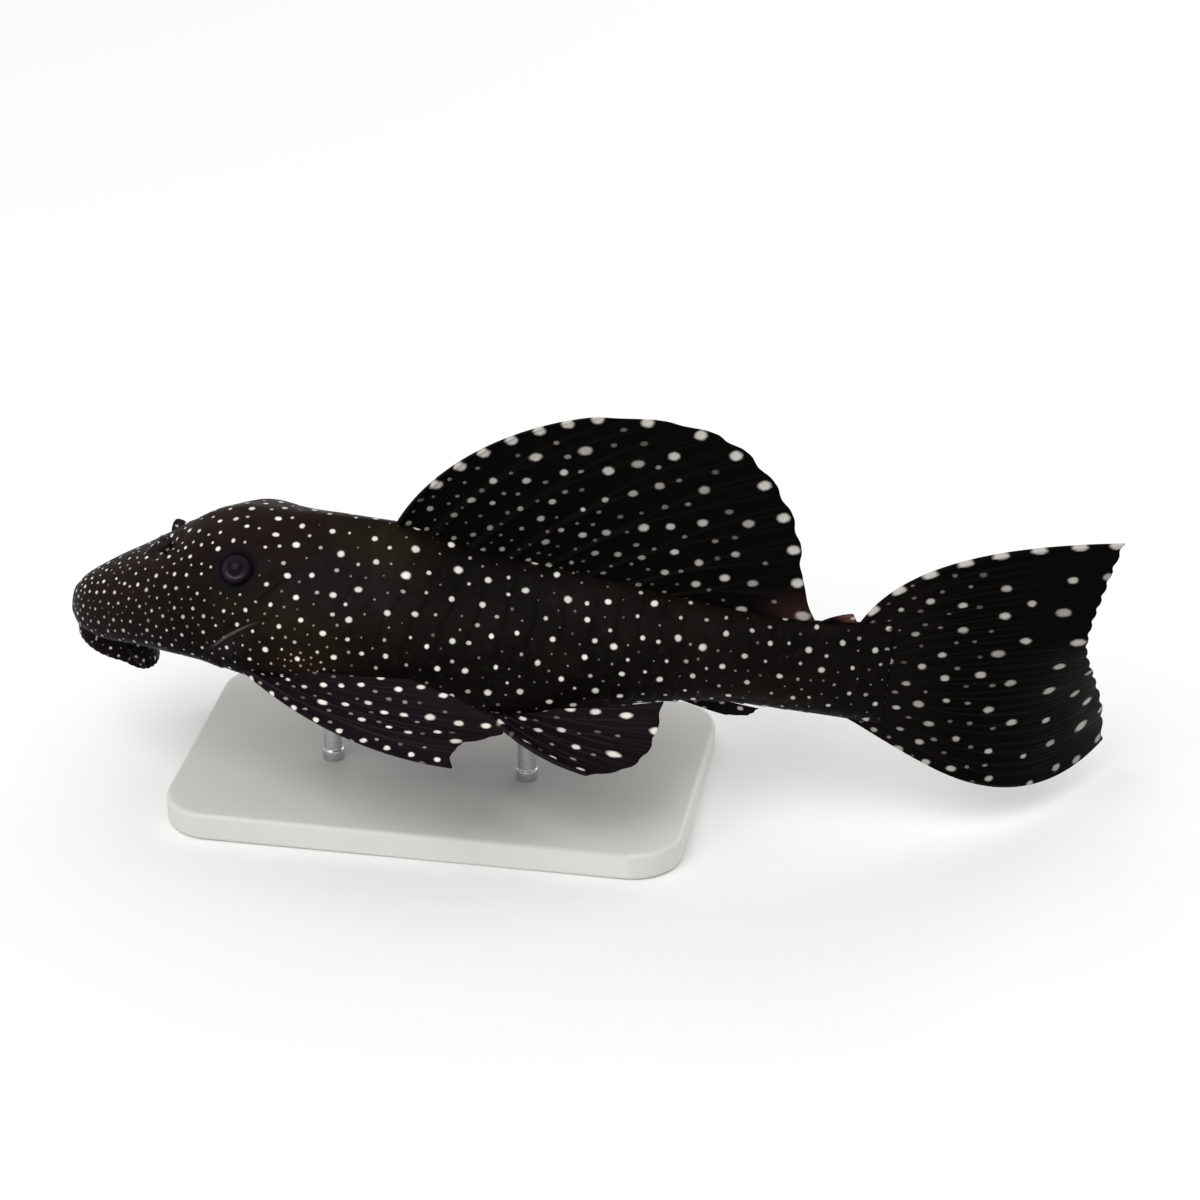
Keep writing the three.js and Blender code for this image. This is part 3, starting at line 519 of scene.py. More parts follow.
def eye_at(side):
    """Middle of the eyeball on a side, -1 or 1, and the direction in which it looks."""
    one, side = np.broadcast_arrays(1.0, side)
    middle = np.stack([one * EYE.along, side * EYE.across, one * EYE.height], axis=-1)
    return middle, np.stack([one, side, one], axis=-1) * EYE_FACING


def around_eye(s, y, z):
    """How far each point lies from the axis of the eye on its side, and how far out along it."""
    middle, axis = eye_at(np.sign(y))
    offset = np.stack([s, y, z], axis=-1) - middle
    out = (offset * axis).sum(-1)
    return np.linalg.norm(offset - out[..., None] * axis, axis=-1), out, axis


def sink_socket(s, y, z):
    """Press the skin in behind the eyeball, within the ring of the orbit."""
    aside, out, axis = around_eye(s, y, z)
    press = SOCKET.depth * (1 - smooth(aside, *SOCKET.wall)) * (out > SOCKET.behind)
    moved = np.stack([s, y, z], axis=-1) - press[..., None] * axis
    return moved[..., 0], moved[..., 1], moved[..., 2]


head_share = (np.arange(HEAD_RINGS) / HEAD_RINGS) ** SNOUT_CROWDING
head_s = neck_at(trunk_angles) * head_share[:, None]
end_s = np.linspace(BODY_LENGTH, TAIL_END.along, TAIL_END.rings)[:, None] + 0 * trunk_angles
body_s = np.concatenate([head_s, trunk_s, tail_s, end_s])
body_height = np.concatenate([head_relief(head_s, trunk_angles), trunk_height, tail_height, 0 * end_s])
body_angle = column_angles(body_s)
body_s, body_y, body_z = sink_socket(*skin_point(body_s, body_angle, body_height))
print("rings along the body:", len(body_s))


# %% [markdown]
# Pieces as arrays
#
# A piece of surface is kept as arrays: points, faces of four corners (or three, with -1 as
# the fourth), a flat map for each corner, and numbers on the points that a material reads.
# Grids, caps and whole pieces then join by shifting their face numbers.

# %% Grids and joins
def grid_faces(rows, columns, wrap=False):
    """Faces of a grid of points, and where each corner lies on a unit map."""
    across = columns if wrap else columns - 1
    i, j = (part.ravel() for part in np.meshgrid(np.arange(rows - 1), np.arange(across), indexing="ij"))
    following = (j + 1) % columns
    faces = np.stack([i * columns + j, i * columns + following,
                      (i + 1) * columns + following, (i + 1) * columns + j], axis=1)
    u = np.stack([j, j + 1, j + 1, j], axis=1) / across
    v = np.stack([i, i, i + 1, i + 1], axis=1) / (rows - 1)
    return faces, np.stack([u, v], axis=-1)


def padded_corners(faces):
    """Four corners for every face: a triangle's third corner stands twice."""
    return np.concatenate([faces[:, :3], np.where(faces[:, 3:] < 0, faces[:, 2:3], faces[:, 3:])], axis=1)


def facing_out(part):
    """Turn the faces of a closed piece round if they point inwards."""
    a, b, c, d = part["points"][padded_corners(part["faces"])].transpose(1, 0, 2)
    volume = (np.cross(b, c) * a).sum() + (np.cross(c, d) * a).sum()
    if volume < 0:
        triangle = part["faces"][:, 3:] < 0
        for name, three in (("faces", triangle), ("uv", triangle[..., None])):
            part[name] = np.where(three, part[name][:, [2, 1, 0, 3]], part[name][:, [3, 2, 1, 0]])
    return part


def piece(points, faces, uv, **marks):
    """The arrays of one closed piece, turned to face outwards: marks are numbers on its points."""
    points = np.asarray(points, float).reshape(-1, 3)
    marks = {name: np.broadcast_to(value, len(points)).astype(float) for name, value in marks.items()}
    return facing_out({"points": points, "faces": faces, "uv": uv, "marks": marks})


def closed_tube(rings, start, end, **marks):
    """A tube of rings, closed by a fan of triangles at each end: start and end are points."""
    rows, columns = rings.shape[:2]
    faces, uv = grid_faces(rows, columns, wrap=True)
    j = np.arange(columns)
    first, last = rows * columns, rows * columns + 1
    none = np.full(columns, -1)
    start_fan = np.stack([np.full(columns, first), (j + 1) % columns, j, none], axis=1)
    top = (rows - 1) * columns
    end_fan = np.stack([np.full(columns, last), top + j, top + (j + 1) % columns, none], axis=1)
    flat = np.zeros((columns, 4, 2))
    flat[:, :, 0] = np.stack([j + 0.5, j + 1, j, j], axis=1) / columns
    points = np.concatenate([rings.reshape(-1, 3), [start], [end]])
    marks = {name: np.append(np.broadcast_to(value, (rows, columns)).ravel(), [0, 0])
             for name, value in marks.items()}
    return piece(points, np.concatenate([faces, start_fan, end_fan]),
                 np.concatenate([uv, flat, flat + [0, 1]]), **marks)


BAND_GAP = 0.01  # share of a piece's band of the map that stays free at either side


def joined(*pieces):
    """One piece of several: each keeps its own band of the flat map, by its number of faces."""
    total = sum(len(part["faces"]) for part in pieces)
    names = {name for part in pieces for name in part["marks"]}
    points, faces, uv, marks, count, used = [], [], [], {name: [] for name in names}, 0, 0.0
    for part in pieces:
        share = len(part["faces"]) / total
        points.append(part["points"])
        faces.append(np.where(part["faces"] < 0, -1, part["faces"] + count))
        uv.append(part["uv"] * [1, (1 - 2 * BAND_GAP) * share] + [0, used + BAND_GAP * share])
        for name in names:
            marks[name].append(part["marks"].get(name, np.zeros(len(part["points"]))))
        count += len(part["points"])
        used += share
    marks = {name: np.concatenate(values) for name, values in marks.items()}
    return piece(np.concatenate(points), np.concatenate(faces), np.concatenate(uv), **marks)


def mesh_object(name, part, material, body="root"):
    """A mesh object from a piece's arrays, smooth shaded, riding on a body of the frame."""
    faces = part["faces"]
    real = faces >= 0
    mesh = bpy.data.meshes.new(name)
    mesh.vertices.add(len(part["points"]))
    mesh.vertices.foreach_set("co", part["points"].astype(np.float32).ravel())
    mesh.loops.add(int(real.sum()))
    mesh.loops.foreach_set("vertex_index", faces[real].astype(np.int32))
    counts = real.sum(1)
    mesh.polygons.add(len(faces))
    mesh.polygons.foreach_set("loop_start", np.concatenate([[0], np.cumsum(counts)[:-1]]).astype(np.int32))
    mesh.update(calc_edges=True)
    mesh.polygons.foreach_set("use_smooth", np.ones(len(faces), bool))
    flat = mesh.uv_layers.new(name="OFBake")
    flat.data.foreach_set("uv", part["uv"][real].astype(np.float32).ravel())
    for mark, values in part["marks"].items():
        layer = mesh.attributes.new(mark, "FLOAT", "POINT")
        layer.data.foreach_set("value", values.astype(np.float32))
    for mark, values in part.get("corners", {}).items():
        layer = mesh.attributes.new(mark, "FLOAT_VECTOR", "CORNER")
        layer.data.foreach_set("vector", values[real].astype(np.float32).ravel())
    mesh.materials.append(material)
    made = bpy.data.objects.new(name, mesh)
    bpy.context.scene.collection.objects.link(made)
    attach(made, body)
    print(name, "triangles:", int((counts - 2).sum()))
    return made


# %% [markdown]
# Spots that stay round on any mesh
#
# The spots could be a procedural texture, but each one here has its own place, size and
# direction: small and dense on the snout, larger on the flank, long ovals along the fin rays,
# and even rows on the fins' leading edges. So they are scattered over the faces by throwing
# darts that keep their distance, and every face is given to the spot whose rim is nearest.
# Each corner of the face stores where it lies as seen from that spot, in radii. Inside a face
# this is exact, so the material draws clean round spots however coarse the grid is.

# %% Scattering spots
SPOT_REACH = 14 * MM  # how far from a face its spot can be


def spot_surface(part):
    """Corners of the faces on the surface where spots are laid out: of a fin, its middle sheet."""
    return part.get("sheet", part["points"])[padded_corners(part["faces"])]


def face_frames(part, level=0.0):
    """Centre, direction along the rows' growth, direction across, and area of each face.

    level turns the first direction towards the length of the body.
    """
    corners = spot_surface(part)
    a, b, c, d = corners.transpose(1, 0, 2)
    normal = np.cross(c - a, d - b)
    area = np.linalg.norm(normal, axis=1) / 2
    normal /= np.maximum(2 * area, 1e-15)[:, None]
    along = c + d - a - b
    along /= np.maximum(np.linalg.norm(along, axis=1), 1e-12)[:, None]
    along[:, 0] += level * np.sign(along[:, 0])
    along -= (along * normal).sum(1)[:, None] * normal
    along /= np.maximum(np.linalg.norm(along, axis=1), 1e-12)[:, None]
    return {"centre": corners.mean(1), "along": along, "across": np.cross(normal, along), "area": area}


def at_faces(part, name):
    """A number of the points, averaged for each face."""
    return part["marks"][name][padded_corners(part["faces"])].mean(1)


def throw_darts(frames, spacing, rng, tries, taken=()):
    """Faces that hold a spot: each dart is kept if it lies its spacing away from all others."""
    weight = frames["area"] / spacing ** 2
    count = len(taken)
    kept = np.zeros(count + tries, int)
    kept[:count] = taken
    places, room = frames["centre"][kept], spacing[kept]
    for face in rng.choice(len(weight), tries, p=weight / weight.sum()):
        gap = np.linalg.norm(places[:count] - frames["centre"][face], axis=1)
        if (gap > (room[:count] + spacing[face]) / 2).all():
            kept[count], places[count], room[count] = face, frames["centre"][face], spacing[face]
            count += 1
    return kept[len(taken):count]


def spots_on(frames, faces, radius, stretch=1.0, tint=0.5):
    """Spots at some faces: radius in metres, stretch along the rows, and tint from 0 to 1."""
    faces = np.asarray(faces, int)
    spread = {name: np.broadcast_to(value, len(faces)).astype(float)
              for name, value in {"radius": radius, "stretch": stretch, "tint": tint}.items()}
    return {"place": frames["centre"][faces], "along": frames["along"][faces],
            "across": frames["across"][faces], **spread}


def paint_spots(part, frames, sets, chunk=1500):
    """Give each face to the spot whose rim is nearest, and store its corners as seen from it.

    Distances are taken in the spot's own directions: along (divided by its stretch), across
    and outwards. The stored value is (along, across) in radii, and the spot's tint. Faces are
    worked through in batches, and only the spots round a batch are compared.
    """
    spots = {name: np.concatenate([some[name] for some in sets]) for name in sets[0]}
    along, across = spots["along"], spots["across"]
    axes = np.stack([along / spots["stretch"][:, None], across, np.cross(along, across)], axis=1)
    owner = np.empty(len(part["faces"]), int)
    for first in range(0, len(owner), chunk):
        centre = frames["centre"][first:first + chunk]
        low, high = centre.min(0) - SPOT_REACH, centre.max(0) + SPOT_REACH
        near = np.flatnonzero(((spots["place"] > low) & (spots["place"] < high)).all(1))
        offset = centre[:, None] - spots["place"][near][None]
        local = np.einsum("fsk,sak->fsa", offset, axes[near])
        owner[first:first + chunk] = near[(np.linalg.norm(local, axis=-1) - spots["radius"][near]).argmin(1)]
    offset = spot_surface(part) - spots["place"][owner][:, None]
    radius = spots["radius"][owner][:, None]
    a = (offset * axes[owner, 0][:, None]).sum(-1) / radius
    b = (offset * axes[owner, 1][:, None]).sum(-1) / radius
    tint = np.broadcast_to(spots["tint"][owner][:, None], a.shape)
    part["corners"] = {"spot": np.stack([a, b, tint], axis=-1)}
    return part


print("spots ready")

# %% [markdown]
# The mouth and the small parts of the head
#
# A suckermouth's lips form a round disc that hangs under the snout, thick at its rim, set
# with small papillae below, and with a short barbel at each corner. The disc is a profile
# turned round the mouth, with more sag behind. The nostril flap is a small blunt tab, and a
# bead of skin lies round each eye.

# %% Lip disc
SMALL_SPOTS = {"spacing": 3.2, "spot_size": 0.32, "tiny": 1.8, "strength": 0.6}
LIP_SPOTS = {"spacing": 3.3, "spot_size": 0.46, "tiny": 1.9, "strength": 0.85}
LIP_DISC = Sizes(along=11.0, height=-4.3, long=9.5, wide=8.9)
LIP_SAG = Sizes(drop=4.4, flap=2.5, flap_from=0.35)  # of the whole disc, and of its rear flap
LIP_PROFILE = [
    (0.8, 7), (0.9, 1.8), (0.98, -0.7), (1.03, -2.2), (1, -3.3), (0.88, -3.5), (0.7, -2.3),
    (0.48, -1.5), (0.4, -1.7), (0.28, -0.4),
]
LIP_SIDES = 120
LIP_RINGS = 56
# Places on the profile are counted in its points
LIP_NOTCHES = Sizes(count=34, deep=0.012, start=(2, 3.4))
PAPILLA = Sizes(across=1.25, height=0.22, start=(4.3, 5.2), until=(7.4, 8.4))
LIP_ENDS = (7.4, 0.6)  # height over the disc of the points that close it, in the head and the mouth


def lip_disc():
    """The profile is a smooth curve through its points; papillae are a product of two waves."""
    index = np.linspace(0, len(LIP_PROFILE) - 1, LIP_RINGS)[:, None]
    share, height = (through(list(enumerate(values)))(index) for values in zip(*LIP_PROFILE))
    turn = full_turn(LIP_SIDES)
    notches = LIP_NOTCHES.deep * np.cos(LIP_NOTCHES.count * turn)
    share = share * (1 + notches * smooth(index, *LIP_NOTCHES.start))
    along = share * LIP_DISC.long * np.cos(turn)
    across = share * LIP_DISC.wide * np.sin(turn)
    below = smooth(index, *PAPILLA.start) * (1 - smooth(index, *PAPILLA.until))
    waves = np.cos(2 * pi * along / PAPILLA.across) * np.cos(2 * pi * across / PAPILLA.across)
    flap = LIP_SAG.flap * smooth(np.cos(turn), LIP_SAG.flap_from, 1)
    sag = LIP_SAG.drop * along / (2 * LIP_DISC.long) + flap
    z = LIP_DISC.height + height - np.minimum(1, share) * sag
    z = z - PAPILLA.height * below * np.maximum(waves, 0)
    rings = in_frame(LIP_DISC.along + along, across, z)
    inside, throat = (in_frame(LIP_DISC.along, 0, LIP_DISC.height + end) for end in LIP_ENDS)
    return closed_tube(rings, inside, throat, slate=0.9 * below + 0 * turn, **LIP_SPOTS)


print("lip disc, mm wide:", 2 * LIP_DISC.wide)

# %% Barbels
BARBEL = Sizes(root=(16.4, 6.65, -5.75), way=(4.8, 2.15, -2.8), sag=0.4, rings=20, sides=14)
BARBEL_RADIUS = Sizes(root=0.95, taper=0.6, tip=0.12)


def circle(turn, first, second):
    """Points of a unit circle in the plane of two directions."""
    return np.cos(turn)[:, None] * first + np.sin(turn)[:, None] * second


def tapered_tube(path, radius, sides, **marks):
    """A round tube along a path of fish points: its section keeps the same two directions."""
    centres = in_frame(*path.T)
    forward = np.gradient(centres, axis=0)
    forward /= np.linalg.norm(forward, axis=1)[:, None]
    side = np.cross(forward, [0, 0, 1.0])
    side /= np.linalg.norm(side, axis=1)[:, None]
    up = np.cross(side, forward)
    ring = circle(full_turn(sides), side[:, None], up[:, None])
    rings = centres[:, None] + radius[:, None, None] * MM * ring
    return closed_tube(rings, centres[0], centres[-1], **marks)


def barbel(side):
    """A short feeler that leaves the corner of the mouth and droops as it thins to a point."""
    t = np.linspace(0, 1, BARBEL.rings)
    s, y, z = (start + way * t for start, way in zip(BARBEL.root, BARBEL.way))
    path = np.stack([s, side * y, z - BARBEL.sag * np.sin(pi * t)], axis=1)
    radius = BARBEL_RADIUS.root * (1 - t) ** BARBEL_RADIUS.taper + BARBEL_RADIUS.tip
    return tapered_tube(path, radius, BARBEL.sides, slate=0.6, **SMALL_SPOTS)


print("barbels, mm thick at the root:", 2 * BARBEL_RADIUS.root)

# %% Nostril flaps and orbit rims
FLAP = Sizes(back=0.2, rise=0.7, long=1.5, wide=1.5, tall=1.9, lean=8, splay=26, sunk=0.5)
FLAP_BLUNTNESS = 0.62  # power on the flap's own sines: 1 makes a ball, less a block with round edges
FLAP_GRID = (24, 32)
ORBIT = Sizes(radius=4.25, tube=0.85, out=1.15)
ORBIT_GRID = (16, 72)  # sides of the bead's section, and places round the eye


def pole_to_pole(rows, gap):
    """Even angles from one pole of a ball to the other, a gap short of each."""
    return np.linspace(gap, pi - gap, rows)[:, None]


def nostril_flap(side):
    """A blunt tab of skin between the two openings: a ball whose sines are raised to a power."""
    rows, columns = FLAP_GRID
    rise, turn = pole_to_pole(rows, gap=0.08), full_turn(columns)

    def blunt(wave):
        """A sine or cosine raised to the power, with its sign kept."""
        return np.sign(wave) * np.abs(wave) ** FLAP_BLUNTNESS

    wide = FLAP.wide * blunt(np.sin(rise)) * blunt(np.sin(turn))
    tall = FLAP.tall * blunt(np.cos(rise)) + 0 * turn
    thick = FLAP.long * blunt(np.sin(rise)) * blunt(np.cos(turn))
    lean, splay = radians(FLAP.lean), radians(-side * FLAP.splay)
    s = thick * cos(lean) + tall * sin(lean)
    up = tall * cos(lean) - thick * sin(lean)
    y = wide * cos(splay) - up * sin(splay)
    z = wide * sin(splay) + up * cos(splay)
    root = skin_point(NOSTRIL.along, side * NOSTRIL.angle, -FLAP.sunk)
    rings = in_frame(root[0] + FLAP.back + s, root[1] + y, root[2] + FLAP.rise + z)
    return closed_tube(rings, rings[0].mean(0), rings[-1].mean(0), pit=0.8, **SMALL_SPOTS)


def orbit_rim(side):
    """A round bead that lies round the eye like a tyre, half sunk in the skin."""
    rows, columns = ORBIT_GRID
    middle, axis = eye_at(side)
    first = np.cross(axis, [1.0, 0, 0])
    first /= np.linalg.norm(first)
    tube = full_turn(rows)[:, None]
    out = ORBIT.radius + ORBIT.tube * np.cos(tube)
    ring = out[..., None] * circle(full_turn(columns), first, np.cross(axis, first))
    points = middle + ORBIT.out * axis + ring + (ORBIT.tube * np.sin(tube))[..., None] * axis
    faces, uv = grid_faces(rows + 1, columns, wrap=True)
    # the whole bead takes the painted shade round the eye
    return piece(placed(points), faces % (rows * columns), uv, shade=1.0, **SMALL_SPOTS)


print("orbit rims, mm wide:", 2 * (ORBIT.radius + ORBIT.tube))

# %% [markdown]
# Numbers that the skin carries
#
# Colour and spots change with the place on the fish: brown on the head, slate on the belly,
# small dense spots on the snout and wide ones on the flank. A painted picture could hold that.
# Here each is a soft bell or step in the same two directions as the shape, stored on the
# points of the mesh, so the spots and the material read the same numbers.

# %% The whole skin
# Of the spots, from the snout on, for the back and for the flank: spacing and radius of the
# largest and spacing of the specks, in millimetres, and the strength of all
SPOT_LAWS = {
    "spacing": (
        [(0, 2.2), (10, 2.8), (25, 3.2), (45, 4.3), (66, 5.6), (90, 6.0), (189, 5.5)],
        [(0, 2.3), (12, 2.7), (30, 3.1), (48, 3.8), (62, 4.9), (90, 5.6), (189, 5.4)],
    ),
    "spot_size": (
        [(0, 0.40), (10, 0.45), (25, 0.50), (45, 0.64), (66, 0.77), (90, 0.80), (140, 0.77), (189, 0.72)],
        [(0, 0.40), (12, 0.42), (30, 0.43), (48, 0.49), (62, 0.60), (90, 0.73), (189, 0.70)],
    ),
    "tiny": (
        [(0, 1.5), (12, 1.9), (30, 2.8), (66, 3.4), (90, 3.3), (189, 3.0)],
        [(0, 1.6), (12, 1.7), (30, 1.8), (48, 2.0), (66, 2.4), (90, 2.9), (189, 2.7)],
    ),
    "strength": ([(0, 1), (189, 1)], [(0, 0.7), (10, 0.48), (36, 0.55), (58, 1), (189, 1)]),
}
FLANK_FROM = (34, 66)  # degrees over which the back's spots become the flank's
TAIL_SPOTS = Sizes(share=0.58, along=(120, 176))  # the strength that is left on the tail
RUST_PLACE = (65, 84, 7, 7)  # along, angle, length and width of the shoulder's rusty patch
RUST_CROWDING = 0.5  # how much closer the specks lie there
# Colours that cover the ground, each over those before it: the colour, how far it covers the
# ground at most, and its patches as strength, along, angle, length and width
SKIN_COLOURS = {
    "brown": ((0.0178, 0.0080, 0.0064, 1), 0.85, [(1, 42, 8, 24, 36), (0.55, 12, 30, 16, 60)]),
    # olive tint at the nape and on the shoulder, partly a painted sheen
    "olive": ((0.0190, 0.0142, 0.0044, 1), 0.80, [(1, 76, 20, 9, 13), (0.4, 60, 66, 22, 16)]),
    "grey": ((0.0150, 0.0135, 0.0115, 1), 0.50, [(1, 80, 40, 6, 14), (0.6, 119, 30, 10, 14)]),
    "rust": ((0.0200, 0.0070, 0.0030, 1), 0.60,
             [(1, *RUST_PLACE), (0.3, 172, 116, 12, 34), (0.35, 158, 8, 18, 14)]),
    "violet": ((0.0080, 0.0058, 0.0100, 1), 0.80, [(0.7, 67, 42, 8, 12)]),
    # painted shade round the eye, on the skin and on the bead of the orbit
    "shade": ((0.0046, 0.0036, 0.0058, 1), 0.95, []),  # round the eye
    # painted shade where the tail meets the tail fin
    "tail_root": ((0.0014, 0.0011, 0.0009, 1), 1.00, []),
    "slate": ((0.0100, 0.0082, 0.0105, 1), 0.85, []),  # bare skin of belly and gill
    "pit": ((0.0320, 0.0300, 0.0300, 1), 0.60,
            [(1, NOSTRIL.along - 0.5, NOSTRIL.angle + 2, 3.2, 10)]),
}
# where the painted shade round the eye fades from its axis, and how far behind the eye it reaches
EYE_SHADE = Sizes(aside=(4.2, 7.4), behind=-6)
TAIL_SHADE = Sizes(strength=0.9, along=(176, 190))
BELLY_SLATE = (132, 158)  # degrees
GILL_LINE = Sizes(along=44.4, angle=81.0, slope=0.42, bend=0.012)  # s rises as the angle falls
GILL_SHOWS = Sizes(start=(65, 73), until=(80, 87), along=46, reach=12)
GILL_BARE = Sizes(start=(0, 0.8), until=(3.5, 8), place=(48, 84, 12, 11))


def past_gill(s, angle):
    """How far a point lies behind the edge of the gill opening, a slanting curve, in millimetres."""
    up = GILL_LINE.angle - np.abs(angle)
    return s - GILL_LINE.along - GILL_LINE.slope * up - GILL_LINE.bend * up * np.abs(up)


def window(x, rises, falls):
    """1 between two smooth steps, 0 outside."""
    return smooth(x, *rises) * (1 - smooth(x, *falls))


def skin_marks(s, y, z, angle):
    """The numbers on the skin's points: laws of the spots, and cover of each colour."""
    flank = smooth(np.abs(angle), *FLANK_FROM)
    marks = {name: lerp(through(back)(s), through(low)(s), flank) for name, (back, low) in SPOT_LAWS.items()}
    marks["tiny"] = marks["tiny"] * (1 - RUST_CROWDING * patch(s, angle, *RUST_PLACE))
    marks["strength"] = marks["strength"] * lerp(1, TAIL_SPOTS.share, smooth(s, *TAIL_SPOTS.along))
    cover = {name: sum(strength * patch(s, angle, *place) for strength, *place in places)
             for name, (_, _, places) in SKIN_COLOURS.items()}
    aside, out, _ = around_eye(s, y, z)
    # painted shade round the eye, within reach of its orbit
    cover["shade"] = (1 - smooth(aside, *EYE_SHADE.aside)) * (out > EYE_SHADE.behind)
    # painted shade that darkens the skin towards the root of the tail fin
    cover["tail_root"] = TAIL_SHADE.strength * smooth(s, *TAIL_SHADE.along)
    marks["past_gill"] = past_gill(s, angle)
    bare = window(marks["past_gill"], GILL_BARE.start, GILL_BARE.until)
    cover["slate"] = smooth(np.abs(angle), *BELLY_SLATE) + bare * patch(s, angle, *GILL_BARE.place)
    near_gill = np.abs(s - GILL_SHOWS.along) < GILL_SHOWS.reach
    cover["gill"] = window(np.abs(angle), GILL_SHOWS.start, GILL_SHOWS.until) * near_gill
    return marks | {name: np.clip(value, 0, 1) for name, value in cover.items()}


def body_piece():
    """The body's rings, closed at the snout by a low dome and at the tail by a fan."""
    dome = np.sin(np.linspace(0, pi / 2, CAP_RINGS, endpoint=False)[1:])[:, None]
    cap_s = lerp(body_s[0], SNOUT_TIP[0], np.sqrt(1 - dome ** 2))
    s = np.concatenate([cap_s, body_s])
    y = np.concatenate([dome * body_y[0], body_y])
    z = np.concatenate([lerp(SNOUT_TIP[2], body_z[0], dome), body_z])
    angle = np.concatenate([np.broadcast_to(trunk_angles, cap_s.shape), body_angle])
    end = in_frame(s[-1].mean() + TAIL_END.bulge, 0, z[-1].mean())
    return closed_tube(in_frame(s, y, z), in_frame(*SNOUT_TIP), end, **skin_marks(s, y, z, angle))


skin_part = joined(body_piece(), lip_disc(), *(make(side) for make in (barbel, nostril_flap, orbit_rim)
                                               for side in (-1, 1)))
print("skin faces:", len(skin_part["faces"]))

# %% [markdown]
# The spots of the skin
#
# The real spots come in sizes: large ones that keep well apart, medium ones between them, and
# faint specks. So the darts are thrown in that order, and each class keeps off the ones before
# it. Radii and tints vary by chance, so no two spots are alike.

# %% Spots of the skin
# Of each class: darts thrown, spacing and radius as shares of the largest, and range of the tint
SPOT_CLASSES = {
    "large": {"tries": 9000, "share": 1.0, "tint": (0.72, 1.0)},
    "medium": {"tries": 6000, "share": 0.66, "tint": (0.35, 0.80)},
}
SPOT_SPREAD = 0.11  # how much the radii vary
SPOT_STRETCH = (0.9, 1.25)
SPECK = Sizes(tries=16000, radius=0.30, spread=0.2, tint=(0.0, 0.32), on_rust=0.30)
EYE_CLEARANCE = 6.2 * MM
eye_places = np.array([in_frame(*eye_at(side)[0]) for side in (-1, 1)])
skin_frames = face_frames(skin_part)
strength = at_faces(skin_part, "strength")
rng = np.random.default_rng(7)


def clear_of_eyes(faces):
    """Leave out spots that would fall on the eyes."""
    gap = np.linalg.norm(skin_frames["centre"][faces][:, None] - eye_places[None], axis=-1)
    return faces[(gap > EYE_CLEARANCE).all(1)]


taken = np.zeros(0, int)
spot_sets = []
for name, kind in SPOT_CLASSES.items():
    spacing = kind["share"] * at_faces(skin_part, "spacing") * MM
    faces = clear_of_eyes(throw_darts(skin_frames, spacing, rng, kind["tries"], taken))
    size = kind["share"] * at_faces(skin_part, "spot_size")[faces] * MM
    size = size * rng.lognormal(0, SPOT_SPREAD, len(faces))
    stretch = rng.uniform(*SPOT_STRETCH, len(faces))
    tint = rng.uniform(*kind["tint"], len(faces)) * strength[faces]
    spot_sets.append(spots_on(skin_frames, faces, size, stretch, tint))
    taken = np.concatenate([taken, faces])
    print(name, "spots on the skin:", len(faces))

specks = clear_of_eyes(throw_darts(skin_frames, at_faces(skin_part, "tiny") * MM, rng, SPECK.tries, taken))
size = SPECK.radius * MM * rng.lognormal(0, SPECK.spread, len(specks))
tint = rng.uniform(*SPECK.tint, len(specks)) * strength[specks]
tint = tint + SPECK.on_rust * at_faces(skin_part, "rust")[specks] * rng.uniform(0, 1, len(specks))
spot_sets.append(spots_on(skin_frames, specks, size, 1.0, tint))
skin_part = paint_spots(skin_part, skin_frames, spot_sets)
print("specks on the skin:", len(specks))

# %% [markdown]
# The skin's finish
#
# The ground is a warm near-black with brown on the head, an olive tint with a painted sheen
# at the nape, rust at the shoulder and slate where the skin is bare. The spots are cream. The
# bone of the plates is covered with tiny teeth, which the material gives as a fine bump, and
# the whole is damp: a soft gloss, not a mirror.

# %% Skin material
SPOT_RIM = (0.52, 1.15)  # radii over which a spot fades
SPOT_UNEVEN = 0.45  # of a radius, by which its rim wanders
SPOT_CREAM = (0.84, 0.80, 0.74, 1)
SPOT_GREY = (0.060, 0.048, 0.038, 1)
GROUND = ((0.0021, 0.0016, 0.0012, 1), (0.0050, 0.0036, 0.0027, 1))
MOTTLE = ((0.0105, 0.0058, 0.0052, 1), (0.0074, 0.0072, 0.0040, 1))
GILL_EDGE_BAND = (0.1, 0.75)  # millimetres over which the pale edge of the gill opening fades
GILL_EDGE_COLOUR = (0.125, 0.115, 0.113, 1)


def spot_nodes(tree):
    """Where a spot is, from 0 to 1, and its colour: the distance is a little uneven."""
    stored = add(tree, "ShaderNodeAttribute", attribute_name="spot").outputs["Vector"]
    parts = add(tree, "ShaderNodeSeparateXYZ", {0: stored}).outputs
    flat = add(tree, "ShaderNodeCombineXYZ", {0: parts[0], 1: parts[1]}).outputs[0]
    distance = add(tree, "ShaderNodeVectorMath", {0: flat}, operation="LENGTH").outputs["Value"]
    uneven = multiply(tree, calculate(tree, "SUBTRACT", noise(tree, 900), 0.5), SPOT_UNEVEN)
    distance = calculate(tree, "ADD", distance, uneven)
    mask = ramp(tree, distance, *SPOT_RIM, 1.0, 0.0)
    return mask, blend_colours(tree, parts[2], SPOT_GREY, SPOT_CREAM)


def tiny_teeth(tree, scale, strength, distance):
    """A bump of small cones packed side by side, over a coarser unevenness."""
    values = {"Vector": own_place(tree), "Scale": scale, "Randomness": 0.8}
    cones = add(tree, "ShaderNodeTexVoronoi", values).outputs["Distance"]
    return bump(tree, strength, distance, calculate(tree, "SUBTRACT", noise(tree, scale / 6), cones))


